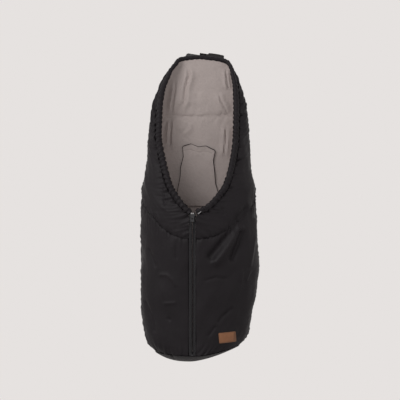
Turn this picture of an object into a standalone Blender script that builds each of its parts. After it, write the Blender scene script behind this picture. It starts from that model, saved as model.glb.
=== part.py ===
# A padded stroller footmuff with a gathered mouth, a front zip and a strap that hangs it from a bar.
# Metres, Z up, front towards -Y, X to the right as the front is looked at.
# The origin is where the strap bears on the bar, at the bar's top.
import math

import bmesh
import bpy
from mathutils import Matrix, Vector

# Driving sizes of the bag
BODY_LENGTH = 0.760
HALF_WIDTH = 0.150
BODY_DEPTH = 0.165
HOOD_LIP = 0.001

# Cloth
SHELL_CLOTH = 0.0012
WADDING = 0.009
WADDING_AT_TOP = 0.0015
LINING = 0.002
CLEAR = 0.0003

# The bar that the strap is made for
BAR_RADIUS = 0.024
BAR_TO_HOOD = 0.016

# Zip
ZIP_X = -0.0166
ZIP_WIDTH = 0.0166
TAPE = 0.0008
COIL_WIDTH = 0.0028
COIL_HEIGHT = 0.0018
COIL_PARTING = 0.0014
TAPE_INSET = 0.0022
ZIP_HEADROOM = 0.010
SLIDER_LENGTH = 0.0105
SLIDER_WIDTH = 0.0118
SLIDER_PLATE = 0.0011
SLIDER_POST = 0.0008
BAIL_GAP = 0.0022
BAIL_STRAP = 0.0010
BAIL_WIDTH = 0.0022
BAIL_LENGTH = 0.0066
PULLER_LENGTH = 0.0130
PULLER_WIDTH = 0.0092
PULLER_THICKNESS = 0.0012
PULLER_RIM = 0.0016
STOP_HEIGHT = 0.0030
STOP_WIDTH = 0.0030
STOP_THICKNESS = 0.0022
SLIDER_NECK_SHARE = 0.62
BAIL_DROP_SHARE = 0.12

# Mouth channel
CHANNEL_RADIUS = 0.0072
CHANNEL_WALL = 0.0012
CHANNEL_STAND_OFF = 0.0007
CHANNEL_TOP_STAND_OFF = 0.0019
CHANNEL_END_TRIM = 0.008
CHANNEL_TOP_SIZE_SHARE = 0.42
CHANNEL_THIN_SHARE = 0.5
CHANNEL_EVEN_STEPS = 84
CHANNEL_SMOOTHINGS = 1
CHANNEL_SIDES = 10
CORD_RADIUS = 0.0024
CORD_SIDES = 6

# Harness opening and its flap
HARNESS_WIDTH = 0.060
HARNESS_HEIGHT = 0.090
HARNESS_TOP = 0.245
HARNESS_CORNER = 0.012
FLAP_TOP = 0.221
FLAP_HEIGHT = 0.150
FLAP_TOP_WIDTH = 0.080
FLAP_FOOT_WIDTH = 0.108
FLAP_CORNER = 0.014
FLAP_LINING = 0.0026
FLAP_BACKING = 0.0012
FLAP_EDGE = 0.0014

# Leather label
LABEL_WIDTH = 0.043
LABEL_HEIGHT = 0.026
LABEL_THICKNESS = 0.0016
LABEL_X_SHARE = 0.47
LABEL_DROP_SHARE = 0.91645
LABEL_TILT = math.radians(5)
LABEL_LIFT = 0.0008
LABEL_CELLS = (4, 3)

# Strap and buckle
WEBBING = 0.025
WEBBING_THICKNESS = 0.0016
BUCKLE_X = 0.028
BUCKLE_LENGTH = 0.065
BUCKLE_WIDTH = 0.033
BUCKLE_END_WIDTH = 0.027
BUCKLE_WALL = 0.0022
BUCKLE_DEPTH = 0.009
BUCKLE_LEAN = math.radians(28)
BUCKLE_SKEW = math.radians(19.6)
SOCKET_LENGTH = 0.041
SOCKET_BOW_STEPS = 10
SOCKET_BOW_START_SHARE = 0.12
SOCKET_BOW_POWER = 0.7
SOCKET_SLOT_SHARE = 0.22
PLUG_FRAME = 0.0215
PLUG_TONGUE = 0.030
PLUG_BAR = 0.0036
PLUG_BAR_DEPTH = 0.0016
TONGUE_DEPTH = 0.0036
# The prongs lie free of the socket's floor, roof and side walls
PRONG_WIDTH = 0.0042
PRONG_LIFT = 0.0012
PRONG_SIDE_PLAY = 0.0018
CAVE_ROOM = 0.0008
PRONG_TIP_SHARE = 0.72
WINDOW_LENGTH = 0.017
WINDOW_PLACE_SHARE = 0.22
STRAP_STEPS = 4
STRAP_SEWN = 0.030
LEFT_SEWN_X = -0.060
LEFT_SEWN_DROP = 0.092
RIGHT_SEWN_X = 0.066
RIGHT_SEWN_DROP = 0.072
RIGHT_BEND_SHARE = 0.2
# The left strap leaves the bar at a turn from its top towards the back, having drifted along it
WRAP_END = math.radians(25)
WRAP_STEPS = 16
WRAP_DRIFT_SHARE = 0.75
WRAP_DRIFT_POWER = 2.5

# Outline of the bag from the front: drop from the hood's edge, reach to the left, reach to the right,
# as shares of the length and of the half width
OUTLINE_SHARES = (
    (0.000, 0.22, 0.24), (0.012, 0.40, 0.43), (0.032, 0.49, 0.56), (0.065, 0.61, 0.655),
    (0.110, 0.71, 0.735), (0.165, 0.785, 0.81), (0.265, 0.85, 0.85), (0.365, 0.88, 0.865),
    (0.440, 0.96, 0.95), (0.500, 0.967, 0.957), (0.600, 0.967, 0.98), (0.680, 0.967, 1.0),
    (0.760, 0.967, 0.955), (0.840, 0.955, 0.895), (0.900, 0.915, 0.825), (0.940, 0.85, 0.70),
    (0.960, 0.76, 0.58), (0.980, 0.65, 0.40), (1.000, 0.20, 0.10),
)
# Edge of the cloth round the mouth, in the same shares, down to the zip
MOUTH_LEFT_SHARES = (
    (0.000, 0.20), (0.012, 0.375), (0.032, 0.455), (0.065, 0.57), (0.110, 0.665), (0.165, 0.715),
    (0.265, 0.733), (0.325, 0.685), (0.370, 0.633), (0.426, 0.55), (0.452, 0.483), (0.479, 0.383),
    (0.505, 0.267),
)
MOUTH_RIGHT_SHARES = (
    (0.000, 0.22), (0.012, 0.40), (0.032, 0.52), (0.065, 0.615), (0.110, 0.665), (0.165, 0.685),
    (0.265, 0.675), (0.304, 0.658), (0.344, 0.625), (0.383, 0.583), (0.422, 0.517), (0.442, 0.467),
    (0.462, 0.383), (0.485, 0.283), (0.508, 0.133),
)
ZIP_TOP_SHARE = 0.525
# Above this share of the way down to the zip, the cloth's edge keeps its place across the bag in every layer
LOOSE_EDGE_SHARE = 0.9
# Depth of the bag down its length, as a share of its full depth
DEPTH_SHARES = (
    (0.00, 0.11), (0.03, 0.20), (0.065, 0.31), (0.11, 0.43), (0.165, 0.53), (0.25, 0.67),
    (0.35, 0.82), (0.44, 0.93), (0.50, 0.985), (0.525, 1.0), (1.0, 1.0),
)
# Each row of the cloth: drop at the back's middle, at the left side, at the right side, at the front
ROW_SHARES = (
    (0.005, 0.015, 0.023, 0.054), (0.018, 0.027, 0.034, 0.067), (0.039, 0.045, 0.050, 0.084),
    (0.070, 0.071, 0.075, 0.104), (0.110, 0.111, 0.113, 0.134), (0.155, 0.157, 0.157, 0.172),
    (0.192, 0.195, 0.195, 0.212), (0.240, 0.244, 0.244, 0.264), (0.285, 0.290, 0.290, 0.322),
    (0.325, 0.334, 0.334, 0.378), (0.358, 0.370, 0.370, 0.424), (0.385, 0.397, 0.397, 0.458),
    (0.406, 0.417, 0.417, 0.486), (0.422, 0.433, 0.433, 0.508), (0.435, 0.447, 0.447, 0.525),
    (0.447, 0.457, 0.457, 0.560), (0.460, 0.468, 0.468, 0.596), (0.530, 0.540, 0.535, 0.660),
    (0.610, 0.620, 0.610, 0.725), (0.690, 0.700, 0.690, 0.790), (0.770, 0.775, 0.763, 0.845),
    (0.840, 0.843, 0.828, 0.890), (0.895, 0.895, 0.877, 0.925), (0.935, 0.935, 0.915, 0.953),
    (0.965, 0.967, 0.947, 0.977),
)
HEAD_ROW_COUNT = 6
MOUTH_ROW_COUNT = 14
YOKE_ROW_COUNT = 16
LAST_ROW = len(ROW_SHARES) - 1

# Section of the bag: flat back, round back corners, rounded front
FLAT_BACK_SHARE = 0.78
SIDE_DEPTH_SHARE = 0.38
FRONT_ROUNDNESS = 2.3
FLAT_CELL_COUNT = 2
CORNER_CELL_COUNT = 3
FRONT_CELL_COUNT = 7
BACK_CELLS = FLAT_CELL_COUNT + CORNER_CELL_COUNT
ALL_CELLS = BACK_CELLS + FRONT_CELL_COUNT
WADDING_FULL_SHARE = 0.16

# Foot of the bag: lowest place across the width, and how full its left and right sides are
FOOT_CENTRE_SHARE = -0.15
FOOT_LEFT_FULLNESS = 2.6
FOOT_RIGHT_FULLNESS = 1.6
FOOT_INNER_SHARES = (0.66, 0.33)
FOOT_CORNER_SHARE = 1.5

BACK_Y = -(BAR_RADIUS + BAR_TO_HOOD)
LAMINATE = SHELL_CLOTH + CLEAR + WADDING + CLEAR + LINING
LEFT, RIGHT = -1, 1


def clear_scene():
    for thing in list(bpy.data.objects):
        bpy.data.objects.remove(thing, do_unlink=True)


def make_material(name, colour, roughness, metallic=0.0):
    material = bpy.data.materials.new(name)
    material.use_nodes = True
    shader = material.node_tree.nodes["Principled BSDF"]
    shader.inputs["Base Color"].default_value = (*colour, 1.0)
    shader.inputs["Roughness"].default_value = roughness
    shader.inputs["Metallic"].default_value = metallic
    material.diffuse_color = (*colour, 1.0)
    return material


def add_object(name, mesh, material, smooth=True):
    thing = bpy.data.objects.new(name, mesh)
    bpy.context.collection.objects.link(thing)
    mesh.materials.clear()
    mesh.materials.append(material)
    if smooth:
        mesh.shade_smooth()
        mesh.set_sharp_from_angle(angle=math.radians(35))
    return thing


def finish_mesh(name, shape):
    bmesh.ops.recalc_face_normals(shape, faces=shape.faces)
    mesh = bpy.data.meshes.new(name)
    shape.to_mesh(mesh)
    shape.free()
    return mesh


# A smooth rising or falling curve through a table's points, without overshoot
def follow(table, share, column=1):
    xs = [row[0] for row in table]
    ys = [row[column] for row in table]
    share = min(max(share, xs[0]), xs[-1])
    slopes = [(ys[i + 1] - ys[i]) / (xs[i + 1] - xs[i]) for i in range(len(xs) - 1)]
    bends = [slopes[0]]
    for before, after in zip(slopes, slopes[1:]):
        bends.append(0.0 if before * after <= 0 else 2 * before * after / (before + after))
    bends.append(slopes[-1])
    i = max(k for k in range(len(xs) - 1) if xs[k] <= share)
    step = xs[i + 1] - xs[i]
    t = (share - xs[i]) / step
    return (
        (1 + 2 * t) * (1 - t) ** 2 * ys[i]
        + t * (1 - t) ** 2 * step * bends[i]
        + t * t * (3 - 2 * t) * ys[i + 1]
        + t * t * (t - 1) * step * bends[i + 1]
    )


def ease(t):
    return t * t * (3 - 2 * t)


def row_drops(row):
    low = min(int(row), LAST_ROW - 1)
    t = row - low
    return [a + (b - a) * t for a, b in zip(ROW_SHARES[low], ROW_SHARES[low + 1])]


def drop_at(side, cell, row):
    back, left, right, front = row_drops(row)
    flank = left if side == LEFT else right
    if cell <= BACK_CELLS:
        return back + (flank - back) * cell / BACK_CELLS
    return flank + (front - flank) * ease((cell - BACK_CELLS) / FRONT_CELL_COUNT)


def reach_at(side, drop):
    return HALF_WIDTH * follow(OUTLINE_SHARES, drop, 1 if side == LEFT else 2)


def depth_at(drop):
    return BODY_DEPTH * follow(DEPTH_SHARES, drop)


def zip_edge(side):
    return side * (ZIP_X + side * ZIP_WIDTH / 2)


def mouth_edge(side, drop):
    table = MOUTH_LEFT_SHARES if side == LEFT else MOUTH_RIGHT_SHARES
    joined = table + ((ZIP_TOP_SHARE, zip_edge(side) / HALF_WIDTH), (1.0, zip_edge(side) / HALF_WIDTH))
    return HALF_WIDTH * follow(joined, drop)


def signed_power(value, power):
    return math.copysign(abs(value) ** power, value)


# A point of the bag's surface, sunk inwards by a depth. Cell 0 is the back's middle, the last one is the
# edge at the mouth or the zip.
def bag_point(side, cell, row, sunk=0.0):
    drop = drop_at(side, cell, row)
    full_reach = reach_at(side, drop)
    reach = full_reach - sunk
    flank = SIDE_DEPTH_SHARE * depth_at(drop)
    flat = FLAT_BACK_SHARE * reach
    if cell <= FLAT_CELL_COUNT:
        x, y = flat * cell / FLAT_CELL_COUNT, sunk
    elif cell <= BACK_CELLS:
        turn = math.pi / 2 * (cell - FLAT_CELL_COUNT) / CORNER_CELL_COUNT
        x = flat + (reach - flat) * math.sin(turn)
        y = flank - (flank - sunk) * math.cos(turn)
    else:
        edge = mouth_edge(side, drop)
        near_zip = min(max(drop / ZIP_TOP_SHARE - LOOSE_EDGE_SHARE, 0.0) / (1 - LOOSE_EDGE_SHARE), 1.0)
        loose = 1 - ease(near_zip)
        edge -= edge / full_reach * sunk * loose
        first = math.asin(signed_power(edge / reach, FRONT_ROUNDNESS / 2))
        turn = math.pi / 2 + (first - math.pi / 2) * (cell - BACK_CELLS) / FRONT_CELL_COUNT
        x = reach * signed_power(math.sin(turn), 2 / FRONT_ROUNDNESS)
        y = flank + (depth_at(drop) - flank - sunk) * math.cos(turn) ** (2 / FRONT_ROUNDNESS)
    return Vector((side * x, BACK_Y - y, HOOD_LIP - drop * BODY_LENGTH))


def wadding_at(side, cell, row):
    share = min(drop_at(side, cell, row) / WADDING_FULL_SHARE, 1.0)
    return WADDING_AT_TOP + (WADDING - WADDING_AT_TOP) * ease(share)


def shell_faces(side, cell, row):
    return 0.0, SHELL_CLOTH


def wadding_faces(side, cell, row):
    outer = SHELL_CLOTH + CLEAR
    return outer, outer + wadding_at(side, cell, row)


def lining_faces(side, cell, row):
    outer = SHELL_CLOTH + CLEAR + wadding_at(side, cell, row) + CLEAR
    return outer, outer + LINING


# Columns of a panel as (side, cell) pairs, from the left to the right as seen from the front of the back
def columns_between(first, last):
    steps = range(first, last + 1)
    return [(LEFT, -step) if step < 0 else (RIGHT, step) for step in steps]


def pull_in(point, neighbour, amount):
    return point + (neighbour - point).normalized() * amount


# A sewn panel: two skins joined round their edges, its edges drawn in by half a clearance
def make_panel(name, columns, rows, faces_of, material):
    skins = []
    for which in (0, 1):
        grid = []
        for row in rows:
            grid.append([bag_point(side, cell, row, faces_of(side, cell, row)[which])
                         for side, cell in columns])
        drawn = [list(line) for line in grid]
        for line, fresh in zip(grid, drawn):
            fresh[0] = pull_in(line[0], line[1], CLEAR / 2)
            fresh[-1] = pull_in(line[-1], line[-2], CLEAR / 2)
        for k in range(len(columns)):
            top, under = drawn[0][k].copy(), drawn[1][k].copy()
            low, above = drawn[-1][k].copy(), drawn[-2][k].copy()
            drawn[0][k] = pull_in(top, under, CLEAR / 2)
            drawn[-1][k] = pull_in(low, above, CLEAR / 2)
        skins.append(drawn)
    shape = bmesh.new()
    verts = [[[shape.verts.new(p) for p in line] for line in skin] for skin in skins]
    outer, inner = verts
    count_rows, count_columns = len(rows), len(columns)
    for i in range(count_rows - 1):
        for k in range(count_columns - 1):
            for skin in (outer, inner):
                shape.faces.new((skin[i][k], skin[i][k + 1], skin[i + 1][k + 1], skin[i + 1][k]))
    for i in range(count_rows - 1):
        for k in (0, count_columns - 1):
            shape.faces.new((outer[i][k], outer[i + 1][k], inner[i + 1][k], inner[i][k]))
    for k in range(count_columns - 1):
        for i in (0, count_rows - 1):
            shape.faces.new((outer[i][k], outer[i][k + 1], inner[i][k + 1], inner[i][k]))
    return add_object(name, finish_mesh(name, shape), material)


def cut_with(thing, cutter):
    cut = thing.modifiers.new("cut", "BOOLEAN")
    cut.operation = "DIFFERENCE"
    cut.object = cutter


def hide_guide(thing):
    thing.hide_render = True
    thing.display_type = "WIRE"
    return thing


# An outline in X and Z made thick along Y, from a front face to a back face
def make_plate(name, outline, front, back, material):
    shape = bmesh.new()
    near = [shape.verts.new((x, front, z)) for x, z in outline]
    far = [shape.verts.new((x, back, z)) for x, z in outline]
    shape.faces.new(near)
    shape.faces.new(far)
    for i in range(len(outline)):
        j = (i + 1) % len(outline)
        shape.faces.new((near[i], near[j], far[j], far[i]))
    return add_object(name, finish_mesh(name, shape), material)


def rounded_outline(corners, radius, steps=4):
    points = []
    for i, corner in enumerate(corners):
        here = Vector(corner)
        before = (Vector(corners[i - 1]) - here).normalized()
        after = (Vector(corners[(i + 1) % len(corners)]) - here).normalized()
        half = before.angle(after) / 2
        middle = here + (before + after).normalized() * radius / math.sin(half)
        first = here + before * radius / math.tan(half) - middle
        last = here + after * radius / math.tan(half) - middle
        sweep = first.angle_signed(last)
        for k in range(steps + 1):
            turn = -sweep * k / steps
            points.append(tuple(middle + Matrix.Rotation(turn, 2) @ first))
    return points


def rectangle(left, right, low, high):
    return [(left, low), (right, low), (right, high), (left, high)]


def add_box(shape, low, high, frame=None):
    size = [b - a for a, b in zip(low, high)]
    middle = [(a + b) / 2 for a, b in zip(low, high)]
    place = Matrix.Translation(middle) @ Matrix.Diagonal((*size, 1.0))
    if frame is not None:
        place = frame @ place
    bmesh.ops.create_cube(shape, size=1.0, matrix=place)


def make_box(name, low, high, material, frame=None):
    shape = bmesh.new()
    add_box(shape, low, high, frame)
    return add_object(name, finish_mesh(name, shape), material, smooth=False)


def join_with(thing, other):
    union = thing.modifiers.new("join", "BOOLEAN")
    union.operation = "UNION"
    union.object = hide_guide(other)


def make_bag_panels(mats):
    back = columns_between(-BACK_CELLS, BACK_CELLS)
    left = [(LEFT, cell) for cell in range(ALL_CELLS, BACK_CELLS - 1, -1)]
    right = [(RIGHT, cell) for cell in range(BACK_CELLS, ALL_CELLS + 1)]
    all_rows = list(range(LAST_ROW + 1))
    upper, lower = all_rows[: YOKE_ROW_COUNT + 1], all_rows[YOKE_ROW_COUNT:]
    head, seat = all_rows[: HEAD_ROW_COUNT + 1], all_rows[HEAD_ROW_COUNT:]
    back_shell = make_panel("back_shell", back, all_rows, shell_faces, mats["shell"])
    back_wadding = make_panel("back_wadding", back, all_rows, wadding_faces, mats["wadding"])
    make_panel("head_lining", back, head, lining_faces, mats["fleece"])
    back_lining = make_panel("back_lining", back, seat, lining_faces, mats["fleece"])
    for word, columns in (("left", left), ("right", right)):
        make_panel("yoke_" + word, columns, upper, shell_faces, mats["shell"])
        make_panel("front_shell_" + word, columns, lower, shell_faces, mats["shell"])
        make_panel("front_wadding_" + word, columns, all_rows, wadding_faces, mats["wadding"])
        make_panel("front_lining_" + word, columns, all_rows, lining_faces, mats["fleece"])
    outline = rounded_outline(
        rectangle(-HARNESS_WIDTH / 2, HARNESS_WIDTH / 2, -HARNESS_TOP - HARNESS_HEIGHT, -HARNESS_TOP),
        HARNESS_CORNER)
    cutter = make_plate("harness_cutter", outline, BACK_Y - 2 * LAMINATE, BACK_Y + LAMINATE, mats["shell"])
    hide_guide(cutter)
    for panel in (back_shell, back_wadding, back_lining):
        cut_with(panel, cutter)


# The foot is a shallow bowl of rings, drawn from the seam round the bag's lower edge
def foot_rays():
    ring = [(LEFT, cell) for cell in range(ALL_CELLS, 0, -1)]
    ring += [(RIGHT, cell) for cell in range(0, ALL_CELLS + 1)]
    return [bag_point(side, cell, LAST_ROW) for side, cell in ring]


def make_bowl(name, material, under, over, whole):
    centre = Vector((FOOT_CENTRE_SHARE * HALF_WIDTH, BACK_Y - BODY_DEPTH / 2))
    lowest = HOOD_LIP - BODY_LENGTH
    rays = foot_rays()
    count = len(rays)
    shape = bmesh.new()
    skins = []
    for lift in (under, over):
        rings = [[shape.verts.new(place) for place in foot_ring(rays, centre, lowest + lift, level)]
                 for level in range(0 if whole else 1, 2 + len(FOOT_INNER_SHARES))]
        middle = shape.verts.new((centre.x, centre.y, lowest + lift))
        skins.append((rings, middle))
    for rings, middle in skins:
        for a, b in zip(rings, rings[1:]):
            for i in range(count):
                j = (i + 1) % count
                shape.faces.new((a[i], a[j], b[j], b[i]))
        for i in range(count):
            shape.faces.new((rings[-1][i], rings[-1][(i + 1) % count], middle))
    lower, upper = skins[0][0][0], skins[1][0][0]
    for i in range(count):
        j = (i + 1) % count
        shape.faces.new((lower[i], lower[j], upper[j], upper[i]))
    return add_object(name, finish_mesh(name, shape), material)


# One ring of the bowl: the whole foot's rim, or the rim inside the walls, or a share of that
def foot_ring(rays, centre, bottom, level):
    ring = []
    for edge in rays:
        arm = Vector(edge[:2]) - centre
        inside = 1.0 - FOOT_CORNER_SHARE * (LAMINATE + CLEAR) / arm.length
        share = (1.0, inside, *(inside * part for part in FOOT_INNER_SHARES))[level]
        lean = (1 + arm.normalized().x) / 2
        full = FOOT_LEFT_FULLNESS + (FOOT_RIGHT_FULLNESS - FOOT_LEFT_FULLNESS) * lean
        rise = (edge.z - SHELL_CLOTH - CLEAR - HOOD_LIP + BODY_LENGTH) * share ** full
        place = centre + arm * share
        ring.append((place.x, place.y, bottom + rise))
    return ring


def make_foot(mats):
    wadding_top = SHELL_CLOTH + CLEAR + WADDING
    make_bowl("foot_gusset", mats["shell"], 0.0, SHELL_CLOTH, True)
    make_bowl("foot_wadding", mats["wadding"], SHELL_CLOTH + CLEAR, wadding_top, False)
    make_bowl("foot_lining", mats["fleece"], wadding_top + CLEAR, wadding_top + CLEAR + LINING, False)


# The mouth's edge as stations: a place in the middle of the cloth's cut edge and the way into the mouth
def mouth_stations():
    def station(side, cell, row):
        outer, _ = shell_faces(side, cell, row)
        inner = lining_faces(side, cell, row)[1]
        return (bag_point(side, cell, row, outer) + bag_point(side, cell, row, inner)) / 2, \
            (bag_point(side, cell, row, outer) - bag_point(side, cell, row, inner)).normalized(), \
            inner / LAMINATE

    places = [station(LEFT, ALL_CELLS, row / 2) for row in range(2 * MOUTH_ROW_COUNT, 0, -1)]
    places += [station(LEFT, cell, 0) for cell in range(ALL_CELLS - 1, 0, -1)]
    places += [station(RIGHT, cell, 0) for cell in range(0, ALL_CELLS)]
    places += [station(RIGHT, ALL_CELLS, row / 2) for row in range(1, 2 * MOUTH_ROW_COUNT + 1)]
    return places


def resample(points, count, trim):
    lengths = [0.0]
    for a, b in zip(points, points[1:]):
        lengths.append(lengths[-1] + (b[0] - a[0]).length)
    fresh = []
    for k in range(count):
        goal = trim + (lengths[-1] - 2 * trim) * k / (count - 1)
        i = min(max(j for j in range(len(points)) if lengths[j] <= goal), len(points) - 2)
        t = (goal - lengths[i]) / (lengths[i + 1] - lengths[i])
        a, b = points[i], points[i + 1]
        fresh.append((a[0].lerp(b[0], t), a[1].lerp(b[1], t).normalized(), a[2] + (b[2] - a[2]) * t))
    return fresh


# The channel's middle line: it stands off the cloth's edge by its own radius
def channel_line():
    places = mouth_stations()
    line = []
    for i, (place, outward, share) in enumerate(places):
        before = places[max(i - 1, 0)][0]
        after = places[min(i + 1, len(places) - 1)][0]
        along = (after - before).normalized()
        into = along.cross(outward).normalized()
        radius = channel_radius(share)
        thinned = (1 - share) / CHANNEL_THIN_SHARE
        stand_off = CHANNEL_STAND_OFF + (CHANNEL_TOP_STAND_OFF - CHANNEL_STAND_OFF) * thinned
        line.append((place + into * (radius + stand_off), into, share))
    line = resample(line, CHANNEL_EVEN_STEPS, CHANNEL_END_TRIM)
    for _ in range(CHANNEL_SMOOTHINGS):
        middle = [((a[0] + 2 * b[0] + c[0]) / 4, (a[1] + 2 * b[1] + c[1]).normalized(), b[2])
                  for a, b, c in zip(line, line[1:], line[2:])]
        line = [line[0], *middle, line[-1]]
    return line


def channel_radius(share):
    return CHANNEL_RADIUS * (CHANNEL_TOP_SIZE_SHARE + (1 - CHANNEL_TOP_SIZE_SHARE) * share)


# A tube swept along stations of place, sideways direction and radius, open or closed by caps
def sweep_rings(shape, line, radius_of, sides):
    rings = []
    for i, (place, into, share) in enumerate(line):
        before = line[max(i - 1, 0)][0]
        after = line[min(i + 1, len(line) - 1)][0]
        along = (after - before).normalized()
        level = (into - along * into.dot(along)).normalized()
        third = along.cross(level)
        radius = radius_of(share)
        rings.append([shape.verts.new(place + radius * (level * math.cos(2 * math.pi * k / sides)
                                                        + third * math.sin(2 * math.pi * k / sides)))
                      for k in range(sides)])
    for a, b in zip(rings, rings[1:]):
        for k in range(sides):
            j = (k + 1) % sides
            shape.faces.new((a[k], a[j], b[j], b[k]))
    return rings


def make_channel(mats):
    line = channel_line()
    shape = bmesh.new()
    outer = sweep_rings(shape, line, channel_radius, CHANNEL_SIDES)
    inner = sweep_rings(shape, line, lambda share: channel_radius(share) - CHANNEL_WALL, CHANNEL_SIDES)
    for end in (0, -1):
        for k in range(CHANNEL_SIDES):
            j = (k + 1) % CHANNEL_SIDES
            shape.faces.new((outer[end][k], outer[end][j], inner[end][j], inner[end][k]))
    add_object("mouth_channel", finish_mesh("mouth_channel", shape), mats["shell"])
    cord = bmesh.new()
    rings = sweep_rings(cord, line, cord_radius, CORD_SIDES)
    for end in (0, -1):
        cord.faces.new(rings[end])
    add_object("elastic_cord", finish_mesh("elastic_cord", cord), mats["elastic"])


def cord_radius(share):
    return min(CORD_RADIUS, channel_radius(share) - CHANNEL_WALL - CLEAR)


def zip_plane():
    return BACK_Y - BODY_DEPTH + TAPE_INSET


def zip_top():
    return HOOD_LIP - ZIP_TOP_SHARE * BODY_LENGTH + ZIP_HEADROOM


def zip_foot():
    return HOOD_LIP - ROW_SHARES[LAST_ROW][3] * BODY_LENGTH + CLEAR


def slider_rest():
    return zip_top() - STOP_HEIGHT - CLEAR - SLIDER_LENGTH / 2


def zip_travel():
    return slider_rest() - SLIDER_LENGTH / 2 - (zip_foot() + STOP_HEIGHT) - CLEAR


def make_zip(mats):
    face = zip_plane()
    top, foot = zip_top(), zip_foot()
    half = COIL_PARTING / 2
    outer = ZIP_WIDTH / 2 - CLEAR
    coil_top = slider_rest() + SLIDER_LENGTH / 2 - SLIDER_PLATE
    for word, side in (("left", LEFT), ("right", RIGHT)):
        xs = sorted((ZIP_X + side * half, ZIP_X + side * outer))
        make_box("zip_tape_" + word, (xs[0], face, foot), (xs[1], face + TAPE, top), mats["tape"])
        xs = sorted((ZIP_X + side * half, ZIP_X + side * (half + COIL_WIDTH)))
        low = (xs[0], face - CLEAR - COIL_HEIGHT, foot + STOP_HEIGHT + CLEAR)
        make_box("zip_coil_" + word, low, (xs[1], face - CLEAR, coil_top), mats["coil"])
    make_slider(mats, face)
    make_puller(mats, face)
    make_stops(mats, face, top, foot)


def slider_front(face):
    return face - CLEAR - COIL_HEIGHT - CLEAR - SLIDER_PLATE


def make_slider(mats, face):
    z = slider_rest()
    front = slider_front(face)
    back = face + TAPE + CLEAR
    half_w, half_l = SLIDER_WIDTH / 2, SLIDER_LENGTH / 2
    neck = SLIDER_WIDTH * SLIDER_NECK_SHARE / 2
    outline = [(-neck, -half_l), (neck, -half_l), (half_w, SLIDER_LENGTH / 6), (half_w, half_l),
               (-half_w, half_l), (-half_w, SLIDER_LENGTH / 6)]
    outline = [(ZIP_X + x, z + h) for x, h in outline]
    slider = make_plate("zip_slider", outline, front, front + SLIDER_PLATE, mats["metal"])
    rear = make_plate("slider_rear", outline, back, back + SLIDER_PLATE, mats["metal"])
    post = make_box("slider_post", (ZIP_X - SLIDER_POST / 2, front + SLIDER_PLATE / 2, z + half_l / 3),
                    (ZIP_X + SLIDER_POST / 2, back + SLIDER_PLATE / 2, z + half_l), mats["metal"])
    ends = bail_middle()
    half_b = BAIL_WIDTH / 2
    span = BAIL_LENGTH / 2
    outer = front - BAIL_GAP - BAIL_STRAP
    bail = make_box("slider_bail", (ZIP_X - half_b, outer, ends - span),
                    (ZIP_X + half_b, front + SLIDER_PLATE / 2, ends + span), mats["metal"])
    hole = make_box("bail_hole", (ZIP_X - SLIDER_WIDTH, front - BAIL_GAP, ends - span + BAIL_STRAP),
                    (ZIP_X + SLIDER_WIDTH, front, ends + span - BAIL_STRAP), mats["metal"])
    cut_with(bail, hide_guide(hole))
    for part in (rear, post, bail):
        join_with(slider, part)


def bail_middle():
    return slider_rest() - BAIL_DROP_SHARE * SLIDER_LENGTH


def puller_axis_y(face):
    return slider_front(face) - BAIL_GAP / 2


def make_puller(mats, face):
    z = bail_middle()
    y = puller_axis_y(face)
    half = PULLER_WIDTH / 2
    head = PULLER_THICKNESS / 2
    outline = rounded_outline(rectangle(-half, half, head - PULLER_LENGTH, head), PULLER_THICKNESS)
    plate = make_plate("zip_puller", outline, -head, head, mats["metal"])
    hole_half = BAIL_WIDTH / 2 + PULLER_RIM
    hole_low = -BAIL_LENGTH + PULLER_THICKNESS / 2
    hole = rounded_outline(rectangle(-hole_half, hole_half, hole_low, -head), PULLER_THICKNESS / 2)
    cutter = make_plate("puller_hole", hole, -PULLER_THICKNESS, PULLER_THICKNESS, mats["metal"])
    cut_with(plate, hide_guide(cutter))
    for part in (plate, cutter):
        part.location = (ZIP_X, y, z)


def make_stops(mats, face, top, foot):
    front = face - STOP_THICKNESS
    for word, side in (("left", LEFT), ("right", RIGHT)):
        xs = sorted((ZIP_X + side * COIL_PARTING / 2, ZIP_X + side * (COIL_PARTING / 2 + STOP_WIDTH)))
        make_box("zip_top_stop_" + word, (xs[0], front, top - STOP_HEIGHT),
                 (xs[1], face - CLEAR, top), mats["metal"])
    make_box("zip_bottom_stop", (ZIP_X - STOP_WIDTH, front, foot),
             (ZIP_X + STOP_WIDTH, face - CLEAR, foot + STOP_HEIGHT), mats["metal"])


def flap_outline(edge):
    top, foot = -FLAP_TOP - edge, -FLAP_TOP - FLAP_HEIGHT
    high, low = FLAP_TOP_WIDTH / 2 - edge, FLAP_FOOT_WIDTH / 2 - edge
    return rounded_outline([(-low, foot), (low, foot), (high, top), (-high, top)], FLAP_CORNER)


def flap_back():
    return BACK_Y - LAMINATE - CLEAR


def make_flap(mats):
    back = flap_back()
    middle = back - FLAP_BACKING
    make_plate("harness_flap_backing", flap_outline(0.0), middle, back, mats["shell"])
    make_plate("harness_flap_lining", flap_outline(FLAP_EDGE), middle - CLEAR - FLAP_LINING,
               middle - CLEAR, mats["fleece"])


# Height of the bag's front face at a place across and down the bag
def front_face(x, drop):
    side = LEFT if x < 0 else RIGHT
    reach = reach_at(side, drop)
    flank = SIDE_DEPTH_SHARE * depth_at(drop)
    across = min(abs(x) / reach, 1.0) ** FRONT_ROUNDNESS
    return BACK_Y - flank - (depth_at(drop) - flank) * (1 - across) ** (1 / FRONT_ROUNDNESS)


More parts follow.
